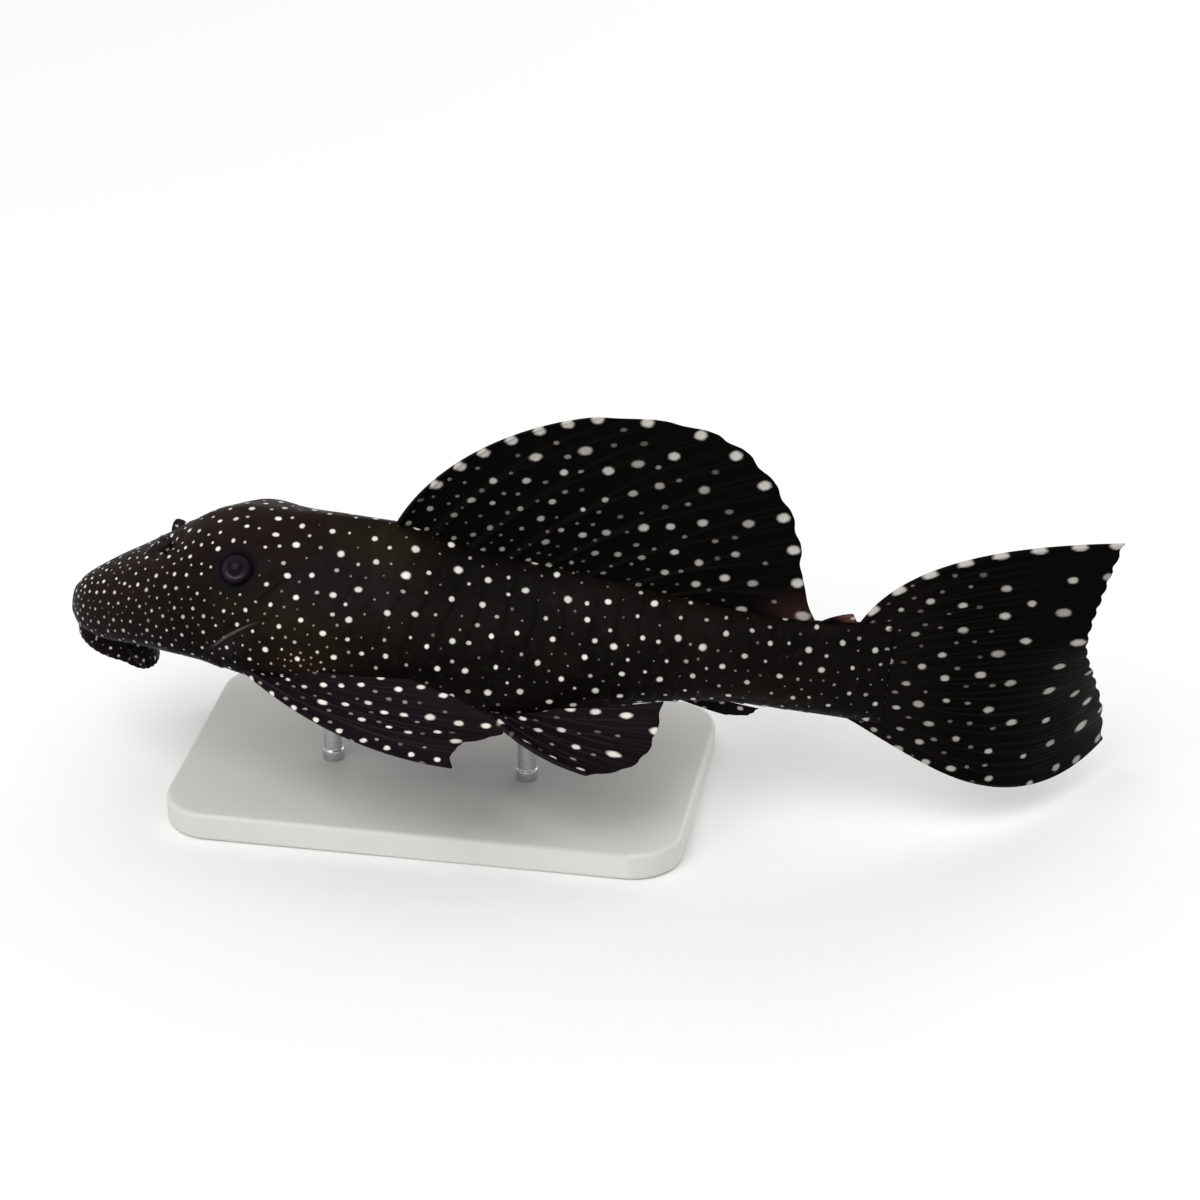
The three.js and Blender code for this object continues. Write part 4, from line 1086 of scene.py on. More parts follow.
def skin_material():
    """Near-black ground in soft clouds, patches of colour over it, then the spots."""
    material, tree, shader = new_material("skin")
    ground = blend_colours(tree, clouds(tree, 60, 0.35, 0.7), *GROUND)
    mottle = clouds(tree, 420, 0.50, 0.72, 0.0, 0.75, detail=5.0, roughness=0.7)
    ground = blend_colours(tree, mottle, ground,
                           blend_colours(tree, clouds(tree, 110, 0.42, 0.58), *MOTTLE))
    for name, (colour, most, _) in SKIN_COLOURS.items():
        cover = clouds(tree, 170, 0.3, 0.65, 0.45 * most, most)
        ground = blend_colours(tree, multiply(tree, number(tree, name), cover), ground, colour)
    from_edge = calculate(tree, "ABSOLUTE", number(tree, "past_gill"))
    edge = multiply(tree, ramp(tree, from_edge, *GILL_EDGE_BAND, 0.50, 0.0), number(tree, "gill"))
    ground = blend_colours(tree, edge, ground, GILL_EDGE_COLOUR)
    mask, spot_colour = spot_nodes(tree)
    fill(tree, shader, {
        "Base Color": blend_colours(tree, mask, ground, spot_colour),
        "Roughness": clouds(tree, 240, 0.3, 0.7, 0.38, 0.54),
        "Specular IOR Level": 0.034,
        "Normal": tiny_teeth(tree, 2300, 0.35, 0.00012),
    })
    return material


skin_object = mesh_object("skin", skin_part, skin_material())
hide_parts("head", "trunk", "tail")

# %% [markdown]
# Fins
#
# A fin is a sheet: each ray is a bent path from the body to the fin's edge, and the sheet
# passes smoothly through all of them. The same sheet has two faces, half a millimetre or
# more apart, on which the rays stand up as ridges. Towards the edge a ray forks, and its
# branches fork again, while the membrane between them grows thin. The first ray is a spine:
# thick, round and rough with tiny teeth.

# %% Paths of the rays
def bent_path(root, tip, bend_root, bend_tip, u):
    """A flat cubic curve: it leaves the line to its tip by one angle and arrives by another.

    Its two handles are a third of the way long. Angles are in degrees, towards the tail if
    they are positive at the root.
    """
    root, tip = np.array(root, float), np.array(tip, float)
    way = tip - root
    third = np.hypot(*way) / 3
    direction = np.arctan2(way[1], way[0])
    leave = direction + radians(bend_root)
    arrive = direction - radians(bend_tip)
    first = root + third * np.array([np.cos(leave), np.sin(leave)])
    second = tip - third * np.array([np.cos(arrive), np.sin(arrive)])
    u = u[:, None]
    return ((1 - u) ** 3 * root + 3 * u * (1 - u) ** 2 * first
            + 3 * u * u * (1 - u) * second + u ** 3 * tip)


def between_rays(paths, across):
    """Points of the sheet: for each place across, a curve through the four nearest rays."""
    count = len(paths)
    i = np.clip(np.floor(across).astype(int), 0, count - 2)
    t = (across - i)[:, None, None]
    before, first, second, after = (paths[np.clip(i + k, 0, count - 1)] for k in (-1, 0, 1, 2))
    return first + 0.5 * t * (second - before + t * (
        2 * before - 5 * first + 4 * second - after + t * (3 * (first - second) + after - before)))


print("ray paths ready")


# %% Sheets
SPINE_COLUMNS = 14  # of a fin's columns, crowded over its first ray
SPINE_REACH = 0.3  # how far they go towards the second ray
SPINE_TIP = 0.5  # share of its thickness that is left at its tip
SCALLOP_FROM = (0.1, 0.5)  # way from a ray to the middle of the membrane, over which the edge draws in
ROW_CROWDING = 0.35  # of a fin's rows, towards its root and its edge
MEMBRANE = 0.5  # thickness between the rays, in millimetres, as the next two
ROOT_FLARE = 0.9  # how much thicker a fin is where it leaves the skin
THINNEST = 0.1
FLARE_REACH = 0.03  # share of a ray
EDGE_TAPER = Sizes(last=0.02, least=0.04)  # share of a ray over which the edge thins
REAR_TAPER = Sizes(last=0.12, least=0.06)  # the same behind the last ray, counted in rays
MERGE_UNTIL = (0.12, 0.5)  # share of a ray over which the body's colour fades
FORK = Sizes(first=0.21, opens=0.5, second=0.095, again=(0.28, 0.75))
RIDGE = Sizes(wide=(0.15, 0.055), until=0.85, falls=0.45)


def branch_ridges(across, share, last_ray, fork):
    """Height of the rays over the membrane, from 0 to 1.

    across counts rays, and share runs from root to edge. A ray is one ridge to its first
    fork, two to the second and four beyond, each narrower and lower than the one before.
    """
    nearest = np.round(across)
    branched = nearest >= 1
    again, open_at = FORK.again
    first = np.where(branched, FORK.first * smooth(share, fork, fork + FORK.opens), 0)
    second = np.where(branched, FORK.second * smooth(share, fork + again, fork + open_at), 0)
    distance = np.abs(np.abs(np.abs(across - nearest) - first) - second)
    width = lerp(*RIDGE.wide, smooth(share, 0, RIDGE.until))
    standing = np.clip(1 - (distance / width) ** 2, 0, 1) * (1 - RIDGE.falls * share)
    return np.where(nearest <= last_ray, standing, 0)


def spread_across(rays, columns):
    """Places of the columns, counted in rays: crowded over the spine, then even."""
    return np.concatenate([
        np.linspace(0, SPINE_REACH, SPINE_COLUMNS, endpoint=False),
        np.linspace(SPINE_REACH, rays - 1, columns - SPINE_COLUMNS),
    ])


def paths_at(lines, u):
    """Points of each line at its own shares u, read between the line's stored points."""
    place = np.clip(u, 0, 1) * (lines.shape[1] - 1)
    i = np.minimum(place.astype(int), lines.shape[1] - 2)
    row = np.arange(len(lines))[:, None]
    return lerp(lines[row, i], lines[row, i + 1], (place - i)[..., None])


def closed_sheet(rings, **marks):
    """Close flat rings, each one face of a sheet and then the other, with a strip at both ends."""
    rows, columns = rings.shape[:2]
    faces, uv = grid_faces(rows, columns, wrap=True)
    j = np.arange(columns // 2 - 1)
    ladder = np.stack([j, j + 1, columns - 2 - j, columns - 1 - j], axis=1)
    start, end = ladder[:, [1, 0, 3, 2]], ladder + (rows - 1) * columns
    start_uv = np.stack([start / columns, 0.0 * start], axis=-1)
    end_uv = np.stack([ladder / columns, 0.0 * ladder + 1], axis=-1)
    marks = {name: np.broadcast_to(value, (rows, columns)).ravel() for name, value in marks.items()}
    return piece(rings, np.concatenate([faces, start, end]), np.concatenate([uv, start_uv, end_uv]), **marks)


def two_faces(front, back):
    """Rings round a sheet: its columns on one face, and back again on the other."""
    return np.concatenate([front, back[::-1]]).swapaxes(0, 1)


def fin_part(paths, columns, rows, thick, scallop=0.014, fork=0.25, last_ray=None, slate=0.0, merge=0.0,
             rose=None):
    """A closed fin: both faces of the sheet through the rays, joined round its edge.

    The faces stand apart along the sheet's own normal. thick says how far: for a ray at its
    root and at its tip, and for the spine, whose section is round. The points carry how far
    from the root they are (share), how high the ray stands (ridge) and the place (across).
    """
    root_thick, tip_thick, spine_thick = thick
    last = len(paths) - 1
    across = spread_across(len(paths), columns)
    even = np.linspace(0, 1, rows)
    share = lerp(even, 0.5 - 0.5 * np.cos(pi * even), ROW_CROWDING)
    notch = scallop * smooth(np.abs(across - np.round(across)), *SCALLOP_FROM)
    grid = paths_at(between_rays(paths, across), share * (1 - notch)[:, None])
    over = np.gradient(grid, axis=0)
    normal = np.cross(np.gradient(grid, axis=1), over)
    normal /= np.maximum(np.linalg.norm(normal, axis=-1), 1e-9)[..., None]
    width = np.linalg.norm(over, axis=-1) / np.gradient(across)[:, None]
    across = across[:, None]
    ridge = branch_ridges(across, share, last if last_ray is None else last_ray, fork)
    deep = lerp(MEMBRANE, lerp(root_thick, tip_thick, share), ridge)
    deep = deep + ROOT_FLARE * np.exp(-share / FLARE_REACH)
    half = spine_thick / 2 * lerp(1, SPINE_TIP, share)
    off = across * width - half
    roundness = 2 * half * np.sqrt(np.clip(1 - (off / half) ** 2, 0, 1))
    deep = np.where(off < half, np.maximum(deep * smooth(off, -half, 0), roundness), deep)
    deep = deep * np.sqrt(np.clip((1 - share) / EDGE_TAPER.last, EDGE_TAPER.least, 1))
    deep = deep * np.sqrt(np.clip((last - across) / REAR_TAPER.last, REAR_TAPER.least, 1))
    step = np.maximum(deep, THINNEST)[..., None] / 2 * normal
    blush = 0 * deep if rose is None else rose(across, share)
    made = closed_sheet(
        placed(two_faces(grid + step, grid - step)),
        share=share[:, None], across=two_faces(across, across), ridge=two_faces(ridge, ridge),
        slate=slate, merge=merge * (1 - smooth(share, *MERGE_UNTIL))[:, None], rose=two_faces(blush, blush),
    )
    made["sheet"] = placed(two_faces(grid, grid)).reshape(-1, 3)
    return made


print("sheets ready")

# %% [markdown]
# The fins of the middle plane
#
# The dorsal fin is a tall sail behind the nape, the adipose fin a short spine with a flap of
# skin, the anal fin small, and the tail fin a fan whose lower lobe is longer and swings to the
# right. They lie in the fish's middle plane, so each ray is a flat curve from a root on the
# back or belly to a tip, which a smooth curve over the fin's edge gives.

# %% Rays of the middle fins
PATH_POINTS = 60
ROOT_SINK = 1.4  # how deep a fin's root lies under the skin
DORSAL = {
    "rays": 8, "roots": (77.5, 141),
    "tip_along": [(0, 123.5), (1, 137), (2, 149.3), (3, 157.6), (4, 164.5), (5, 169.4), (6, 172.2),
                  (7, 173.6)],
    "tip_height": [(0, 72.8), (1, 74.2), (2, 73), (3, 69.2), (4, 62.6), (5, 55), (6, 47), (7, 38.5)],
    "bend_root": [(0, 29.5), (1, 21), (3, 13), (5, 8), (7, 2)],
    "bend_tip": [(0, 25), (1, 20), (3, 14), (5, 8), (7, 3)],
    "behind": (145, 178),  # where the membrane behind the last ray lies on the back
}
ADIPOSE = Sizes(root=177, rear=(179.5, 188), tip=(185.8, 31.8), bends=(20, 14))
CAUDAL = {
    "rays": 16, "top": 29.6, "low": 4.4,
    "tip_along": [(0, 244.5), (3, 242), (7, 240), (11, 245.5), (13, 249.5), (15, 251.5)],
    "tip_height": [(0, 57.5), (3, 45.5), (7, 31.5), (11, 12.5), (13, 0.5), (15, -10.7)],
    "bend_root": [(0, 38.5), (2, 21), (5, 8), (8, 0), (12, -10), (15, -15.5)],
    "bend_tip": [(0, 18.5), (2, 11), (5, 4), (8, 0), (12, -14), (15, -37)],
    "curl": 29, "curl_from": 0.42, "curl_start": 0.35,  # sideways; first ray and share of a ray
}
ANAL = {
    "rays": 5, "roots": (140, 148),
    "tip_along": [(0, 159.4), (2, 164.4), (4, 166.8)],
    "tip_height": [(0, 0.8), (2, 1.4), (4, 3.6)],
    "bend_root": [(0, 9), (4, 0)],
    "bend_tip": [(0, -3), (4, -2)],
}
along_ray = np.linspace(0, 1, PATH_POINTS)


def each(sizes, name):
    """A size of every ray of a fin, read from the smooth curve over the rays' numbers."""
    return through(sizes[name])(np.arange(sizes["rays"]))


def upright(s, z):
    """Points of the middle plane as fish points."""
    return np.stack([s, 0 * s, z], axis=1)


def under_back(s):
    """The height of a root that is let into the back."""
    return back_height(s) - ROOT_SINK


def on_back(start, end):
    """The membrane's rear edge, which lies along the back."""
    s = np.linspace(start, end, PATH_POINTS)
    return upright(s, under_back(s))


def flat_rays(sizes, root_s, root_z):
    """The rays of a fin that stands in the middle plane, from its roots to its tips."""
    tips = zip(each(sizes, "tip_along"), each(sizes, "tip_height"))
    bends = zip(each(sizes, "bend_root"), each(sizes, "bend_tip"))
    return np.array([upright(*bent_path(root, tip, *bend, along_ray).T)
                     for root, tip, bend in zip(zip(root_s, root_z), tips, bends)])


def dorsal_rays():
    """Rays spaced evenly along the back, and the rear edge of the membrane as one more."""
    s = np.linspace(*DORSAL["roots"], DORSAL["rays"])
    return np.append(flat_rays(DORSAL, s, under_back(s)), [on_back(*DORSAL["behind"])], axis=0)


def adipose_rays():
    """One spine, and the rear edge of its flap."""
    root = (ADIPOSE.root, under_back(ADIPOSE.root))
    spine = upright(*bent_path(root, ADIPOSE.tip, *ADIPOSE.bends, along_ray).T)
    return np.array([spine, on_back(*ADIPOSE.rear)])


def caudal_rays():
    """A fan of rays whose lower half swings to the right, more towards its tips."""
    down = np.arange(CAUDAL["rays"]) / (CAUDAL["rays"] - 1)
    rays = flat_rays(CAUDAL, BODY_LENGTH - ROOT_SINK + 0 * down, lerp(CAUDAL["top"], CAUDAL["low"], down))
    bent = np.clip((along_ray - CAUDAL["curl_start"]) / (1 - CAUDAL["curl_start"]), 0, 1)
    rays[:, :, 1] = CAUDAL["curl"] * smooth(down, CAUDAL["curl_from"], 1)[:, None] * bent ** 2
    return rays


def anal_rays():
    """Rays spaced evenly along the belly."""
    s = np.linspace(*ANAL["roots"], ANAL["rays"])
    return flat_rays(ANAL, s, belly_height(s) + ROOT_SINK)


print("longest tail ray, mm:", round(float(each(CAUDAL, "tip_along")[-1] - BODY_LENGTH), 1))

# %% [markdown]
# The paired fins
#
# The pectoral and the pelvic fins stand out from the flanks, and the pectoral's thick spine
# reaches back past the pelvic's root. Each ray runs from a point of the body's own outline to
# its tip and is bowed by a parabola. The other side is the same with y turned round.

# %% Rays of the paired fins
PECTORAL = {
    "rays": 7, "root_along": [(0, 47.5), (6, 54)], "root_angle": [(0, 106), (6, 92)],
    "tip_along": [(0, 104.2), (1, 104.6), (2, 109), (3, 113.2), (4, 109), (5, 100.5), (6, 90)],
    "tip_across": [(0, 46.9), (1, 43.6), (2, 40.5), (3, 37), (4, 34), (5, 31), (6, 28)],
    "tip_height": [(0, 3.6), (1, 7.6), (2, 8.4), (3, 9.1), (4, 11.4), (5, 12.7), (6, 13.6)],
    "bow_out": [(0, 3.2), (3, 1.8), (6, 0.8)],
    "bow_down": [(0, 2.8), (3, 1.0), (6, 0)],
}
PELVIC = {
    "rays": 6, "root_along": [(0, 104), (5, 108.5)], "root_angle": [(0, 121), (5, 127)],
    "tip_along": [(0, 132), (1, 137), (2, 141.5), (3, 144.2), (4, 145.2), (5, 145.5)],
    "tip_across": [(0, 33), (1, 28.8), (2, 25.5), (3, 20.5), (4, 15.5), (5, 12)],
    "tip_height": [(0, -0.9), (1, -1.9), (2, -1), (3, 0.8), (4, 4.1), (5, 9.0)],
    "bow_out": [(0, 3.8), (3, 1.6), (5, 1.4)],
    "bow_down": [(0, 0), (5, 0)],
}
PAIRED_SINK = 2.0


def paired_rays(sizes, side):
    """Rays from the fish's flank, each a straight line bowed outwards by a parabola."""
    root = skin_point(each(sizes, "root_along"), side * each(sizes, "root_angle"), -PAIRED_SINK)
    tip = (each(sizes, "tip_along"), side * each(sizes, "tip_across"), each(sizes, "tip_height"))
    u = along_ray[None, :, None]
    rays = lerp(np.stack(root, axis=1)[:, None], np.stack(tip, axis=1)[:, None], u)
    bulge = (4 * u * (1 - u))[:, :, 0]
    rays[:, :, 1] += side * each(sizes, "bow_out")[:, None] * bulge
    rays[:, :, 2] -= each(sizes, "bow_down")[:, None] * bulge
    return rays


print("pectoral spine's tip, mm out:", each(PECTORAL, "tip_across")[0])

# %% [markdown]
# The spots of the fins
#
# On the fins the spots are ovals along the rays, small at the root and large at the edge, and
# an even row of them runs up the first ray of the large fins. The darts are thrown on the
# middle sheet, so both faces show the same spots, as a thin fin does.

# %% Spots of the fins
SPOT_MARGIN = 0.02  # share of a ray at its root that stays plain
FIN_DARTS = 2500
RAY_SHARE = 1 / 8  # how far the next ray is, as a share of a ray's length, when the nearest face is sought
SMALL_SPOT = Sizes(spacing=0.62, radius=0.58)  # shares of the large spots'
FIN_SPOT_SPREAD = 0.12
FIN_SPOT_STRETCH = (0.85, 1.15)
ROOT_FADE = (0.05, 0.5)  # share of a ray over which the spots reach their full strength


def fin_spots(part, field, edge, seed):
    """Ovals along the rays, small at the fin's root and large at its edge, with faint ones between.

    field holds, at the root and at the edge, the spots' spacing and radius; edge holds the
    places of the marginal spots, as ray and share. A spot is thrown on one face of the middle
    sheet and shows on both, as the fin is thin.
    """
    rng = np.random.default_rng(seed)
    frames = face_frames(part, field["level"])
    share, across = at_faces(part, "share"), at_faces(part, "across")
    columns = 2 * len(np.unique(part["marks"]["across"]))
    one_face = np.arange(len(share)) % columns < columns // 2
    frames["area"] = frames["area"] * one_face * (share > SPOT_MARGIN)
    nearest = [np.hypot((across - ray) * RAY_SHARE, share - u).argmin() for ray, u in edge["places"]]
    margin = np.array(nearest, int)
    spacing = lerp(*field["spacing"], share) * MM
    radius = lerp(*field["radius"], share) * MM
    large = throw_darts(frames, spacing, rng, FIN_DARTS, taken=margin)
    taken = np.concatenate([margin, large])
    small = throw_darts(frames, SMALL_SPOT.spacing * spacing, rng, FIN_DARTS, taken)
    small = small[share[small] < field["small_until"]]
    sets = [spots_on(frames, margin, edge["radius"] * MM, edge["stretch"], edge["tint"])]
    for faces, size, tint in ((large, 1.0, "tint"), (small, SMALL_SPOT.radius, "small_tint")):
        size = size * radius[faces] * rng.lognormal(0, FIN_SPOT_SPREAD, len(faces))
        stretch = field["stretch"] * rng.uniform(*FIN_SPOT_STRETCH, len(faces))
        strength = lerp(field["root_strength"], 1, smooth(share[faces], *ROOT_FADE))
        tint = strength * rng.uniform(*field[tint], len(faces))
        sets.append(spots_on(frames, faces, size, stretch, tint))
    return paint_spots(part, frames, sets)


def up_ray(count, across, first, last):
    """Places along a ray at even steps of its share."""
    return [(across, share) for share in np.linspace(first, last, count)]


DORSAL_FIELD = {"spacing": (3.8, 8.4), "radius": (0.50, 1.20), "stretch": 1.4, "tint": (0.24, 0.46),
                "small_tint": (0.02, 0.16), "small_until": 0.85, "level": 0.8, "root_strength": 0.5}
CAUDAL_FIELD = {"spacing": (4.4, 7.8), "radius": (0.64, 1.06), "stretch": 1.45, "tint": (0.26, 0.44),
                "small_tint": (0.02, 0.16), "small_until": 0.6, "level": 1.0, "root_strength": 0.9}
PECTORAL_FIELD = {"spacing": (3.5, 5.6), "radius": (0.48, 0.70), "stretch": 1.8, "tint": (0.70, 1.0),
                  "small_tint": (0.05, 0.30), "small_until": 0.9, "level": 0.2, "root_strength": 1.0}
PELVIC_FIELD = PECTORAL_FIELD | {"spacing": (3.8, 7.6), "radius": (0.46, 0.92), "stretch": 1.75,
                                 "small_until": 0.8}
SMALL_FIELD = {"spacing": (3.4, 4.6), "radius": (0.42, 0.55), "stretch": 1.4, "tint": (0.3, 0.6),
               "small_tint": (0.05, 0.25), "small_until": 0.6, "level": 0.2, "root_strength": 1.0}
NO_EDGE = {"places": [], "radius": 0.5, "stretch": 1, "tint": 0}
DORSAL_EDGE = {"places": up_ray(7, 0.19, 0.27, 0.965) + [(ray, 0.955) for ray in range(1, 8)],
               "radius": 1.30, "stretch": 1.25, "tint": 0.52}
CAUDAL_EDGE = {"places": up_ray(8, 0.17, 0.08, 0.975), "radius": 1.08, "stretch": 1.9, "tint": 0.50}
PECTORAL_EDGE = {"places": up_ray(9, 0.34, 0.10, 0.95), "radius": 0.60, "stretch": 1.5, "tint": 0.9}
PELVIC_EDGE = {"places": up_ray(4, 0.35, 0.2, 0.9), "radius": 0.72, "stretch": 1.6, "tint": 0.9}
print("rules of the fins' spots ready")

# %% [markdown]
# The fins' finish
#
# The membrane is thin black skin, and the rays in it are bone: paler, and jointed across. The
# mesh carries how high the ray stands, so one material serves every fin: it blends the two
# colours by that height, adds slate on the paired fins and a rosy blush at the rear of the
# back, and bumps the joints as fine rings.

# %% Fin material
ROOT_COLOUR = (0.0042, 0.0033, 0.0028, 1)  # of a fin where it leaves the body
ROSE_COLOUR = (0.0900, 0.0360, 0.0320, 1)
MEMBRANE_COLOURS = ((0.0009, 0.0008, 0.0007, 1), (0.0066, 0.0046, 0.0060, 1))  # plain and slate
RAY_COLOURS = ((0.0040, 0.0032, 0.0029, 1), (0.0185, 0.0140, 0.0175, 1))
JOINTS = 260.0  # radians of their wave along a ray


def fin_material():
    """Dark membrane and paler rays: the rays' joints are fine rings along each ridge."""
    material, tree, shader = new_material("fin")
    cloud = clouds(tree, 90, 0.3, 0.7)
    ridge = number(tree, "ridge")
    on_ray = multiply(tree, ramp(tree, ridge, 0.15, 0.8), ramp(tree, cloud, 0, 1, 0.5, 0.9))
    slate = number(tree, "slate")
    ground = blend_colours(tree, slate, *MEMBRANE_COLOURS)
    ground = blend_colours(tree, on_ray, ground, blend_colours(tree, slate, *RAY_COLOURS))
    ground = blend_colours(tree, number(tree, "merge"), ground, ROOT_COLOUR)
    ground = blend_colours(tree, number(tree, "rose"), ground, ROSE_COLOUR)
    mask, spot_colour = spot_nodes(tree)
    colour = blend_colours(tree, mask, ground, spot_colour)
    joints = calculate(tree, "SINE", multiply(tree, number(tree, "share"), JOINTS))
    joints = multiply(tree, joints, ridge)
    height = calculate(tree, "ADD", multiply(tree, joints, 0.35), noise(tree, 900))
    normal = bump(tree, 0.4, 0.00012, height)
    roughness = ramp(tree, cloud, 0, 1, 0.40, 0.54)
    fill(tree, shader, {"Base Color": colour, "Roughness": roughness, "Specular IOR Level": 0.022,
                        "Normal": normal})
    return material


def dorsal_blush(across, share):
    """A faint blush on the membrane behind the last ray."""
    return 0.35 * smooth(across, 7, 8) * smooth(share, 0.55, 0.95)


def adipose_blush(across, share):
    """A blush towards the tip of the spine."""
    return smooth(share, 0.5, 0.9) * (1 - smooth(across, 0.3, 0.8))


DORSAL_SHEET = {"columns": 230, "rows": 110, "thick": (1.3, 0.75, 2.4), "last_ray": 7, "rose": dorsal_blush}
ADIPOSE_SHEET = {"columns": 60, "rows": 40, "thick": (1.0, 0.6, 1.9), "last_ray": 0, "merge": 0.5,
                 "rose": adipose_blush}
CAUDAL_SHEET = {"columns": 330, "rows": 110, "thick": (1.5, 0.7, 2.2), "scallop": 0.008, "fork": 0.12,
                "merge": 1.0}
ANAL_SHEET = {"columns": 110, "rows": 60, "thick": (1.0, 0.6, 1.5), "slate": 0.4}
PECTORAL_SHEET = {"columns": 180, "rows": 90, "thick": (1.3, 0.7, 2.8), "slate": 1.0}
PELVIC_SHEET = {"columns": 150, "rows": 80, "thick": (1.1, 0.7, 2.0), "slate": 1.0}
pectoral = (PECTORAL_SHEET, PECTORAL_FIELD, PECTORAL_EDGE, "paired_fin")
pelvic = (PELVIC_SHEET, PELVIC_FIELD, PELVIC_EDGE, "paired_fin")
FINS = {
    "dorsal_fin": (dorsal_rays(), DORSAL_SHEET, DORSAL_FIELD, DORSAL_EDGE, "fin"),
    "adipose_fin": (adipose_rays(), ADIPOSE_SHEET, SMALL_FIELD, NO_EDGE, "fin"),
    "caudal_fin": (caudal_rays(), CAUDAL_SHEET, CAUDAL_FIELD, CAUDAL_EDGE, "fin"),
    "anal_fin": (anal_rays(), ANAL_SHEET, SMALL_FIELD, NO_EDGE, "fin"),
    "pectoral_fin_left": (paired_rays(PECTORAL, -1), *pectoral),
    "pectoral_fin_right": (paired_rays(PECTORAL, 1), *pectoral),
    "pelvic_fin_left": (paired_rays(PELVIC, -1), *pelvic),
    "pelvic_fin_right": (paired_rays(PELVIC, 1), *pelvic),
}
FIRST_SEED = 11  # of the fins' spots
fin_finish = fin_material()
for seed, (name, (rays, sheet, field, edge, slot)) in enumerate(FINS.items(), start=FIRST_SEED):
    part = fin_spots(fin_part(rays, **sheet), field, edge, seed)
    made = mesh_object("shown_" + name, part, fin_finish)
    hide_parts(name)

# %% [markdown]
# Eyes
#
# The eye is a ball in a sunk orbit. A flap of the iris hangs into its round pupil from above,
# and a pale arc lies below. A picture wrapped on the ball would blur at this size, so pupil,
# arc and rim are numbers on a fine grid whose pole looks outwards.

# %% Eyes
EYE_GRID = (90, 120)
IRIS_ANGLE = radians(52)  # from the pole to the rim of the iris, which has radius 1 below
PUPIL_EDGE = (0.46, 0.52)
PUPIL_FLAP = Sizes(half_wide=0.26, half_tall=0.42, up=0.42, edge=(0.9, 1.05))
PALE_ARC = Sizes(below=(0.2, 0.55), inner=(0.54, 0.60), outer=(0.68, 0.78))
IRIS_COLOURS = ((0.010, 0.006, 0.013, 1), (0.024, 0.014, 0.030, 1))
ARC_COLOUR = (0.09, 0.07, 0.085, 1)
RIM_COLOUR = (0.0062, 0.0044, 0.0074, 1)
PUPIL_COLOUR = (0.0036, 0.0028, 0.0050, 1)
DARK_RIM = Sizes(start=(0.55, 1.0), above=(-0.3, 0.4), strength=0.8)


def eye_part(side):
    """A ball whose pole looks outwards, with its pupil, iris and pale arc as numbers.

    The pupil is round with a flap that hangs into it from above. Both are told in the
    plane across the pole, where the iris has radius 1.
    """
    rows, columns = EYE_GRID
    polar, turn = pole_to_pole(rows, gap=0.02), full_turn(columns)
    middle, axis = eye_at(side)
    up = np.array([0, 0, 1.0]) - axis[2] * axis
    up /= np.linalg.norm(up)
    front = np.cross(up, axis)
    direction = (np.cos(polar)[..., None] * axis + (np.sin(polar) * np.cos(turn))[..., None] * front
                 + (np.sin(polar) * np.sin(turn))[..., None] * up)
    plane = polar / IRIS_ANGLE
    x, z = plane * np.cos(turn), plane * np.sin(turn)
    in_flap = np.hypot(x / PUPIL_FLAP.half_wide, (z - PUPIL_FLAP.up) / PUPIL_FLAP.half_tall)
    pupil = (1 - smooth(np.hypot(x, z), *PUPIL_EDGE)) * smooth(in_flap, *PUPIL_FLAP.edge)
    arc = smooth(-z, *PALE_ARC.below) * window(plane, PALE_ARC.inner, PALE_ARC.outer)
    rim = np.maximum(smooth(plane, *DARK_RIM.start), DARK_RIM.strength * smooth(z, *DARK_RIM.above))
    poles = (in_frame(*(middle + EYE.radius * end)) for end in (axis, -axis))
    return closed_tube(placed(middle + EYE.radius * direction), *poles,
                       pupil=pupil, arc=arc, rim=rim)


def eye_material():
    """A violet iris in soft clouds, the pale arc, the dark rim and the pupil, one over another."""
    material, tree, shader = new_material("eye")
    iris = blend_colours(tree, clouds(tree, 1500, 0.35, 0.65), *IRIS_COLOURS)
    iris = blend_colours(tree, multiply(tree, number(tree, "arc"), 0.75), iris, ARC_COLOUR)
    iris = blend_colours(tree, number(tree, "rim"), iris, RIM_COLOUR)
    colour = blend_colours(tree, number(tree, "pupil"), iris, PUPIL_COLOUR)
    fill(tree, shader, {"Base Color": colour, "Roughness": 0.4, "Specular IOR Level": 0.04,
                        "Coat Weight": 0.05, "Coat Roughness": 0.16})
    return material


eye_finish = eye_material()
for side, name in ((-1, "eye_left"), (1, "eye_right")):
    made = mesh_object("shown_" + name, eye_part(side), eye_finish)
    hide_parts(name)

# %% [markdown]
# The stand
#
# A museum's stand should hardly be noticed: a painted slab with round edges, and two steel
# rods whose soft pads carry the belly. Bevelled primitives would do, but a slab and a rod are
# each a profile carried round an outline, as the fish's own parts are. The paint is a little
# uneven, and the steel has fine lines round it, as from a lathe.

# %% Stand
STAND = Sizes(long=124.0, wide=74.0, thick=7.0, corner=12.0, round=1.2, flat=4)
CORNER_STEPS, EDGE_STEPS = 13, 9
NUDGE = 1e-9  # radians: each quarter's first angle then lies at its own corner
ROD_RADIUS = 2.6
ROD_SIDES = 64
ROD_PLACES = {"stand_rod_front": 64, "stand_rod_rear": 112}
# Share of the radius and height, from the slab's top and from the rod's own top
ROD_FOOT = [(0.98, 0), (1, 0.2), (1, 2.4), (0.97, 2.7), (0.88, 2.8), (0.86, 3.1)]
ROD_HEAD = [(0.86, -2.6), (0.88, -2.4), (0.98, -2.2), (1, -2), (1, 0)]
ROD_SLOPES_FROM, PAD_FROM = -3, -2.5  # the slope that follows the belly, and the soft pad
PAD_SINK = 0.6  # how far a rod's end is let into the belly


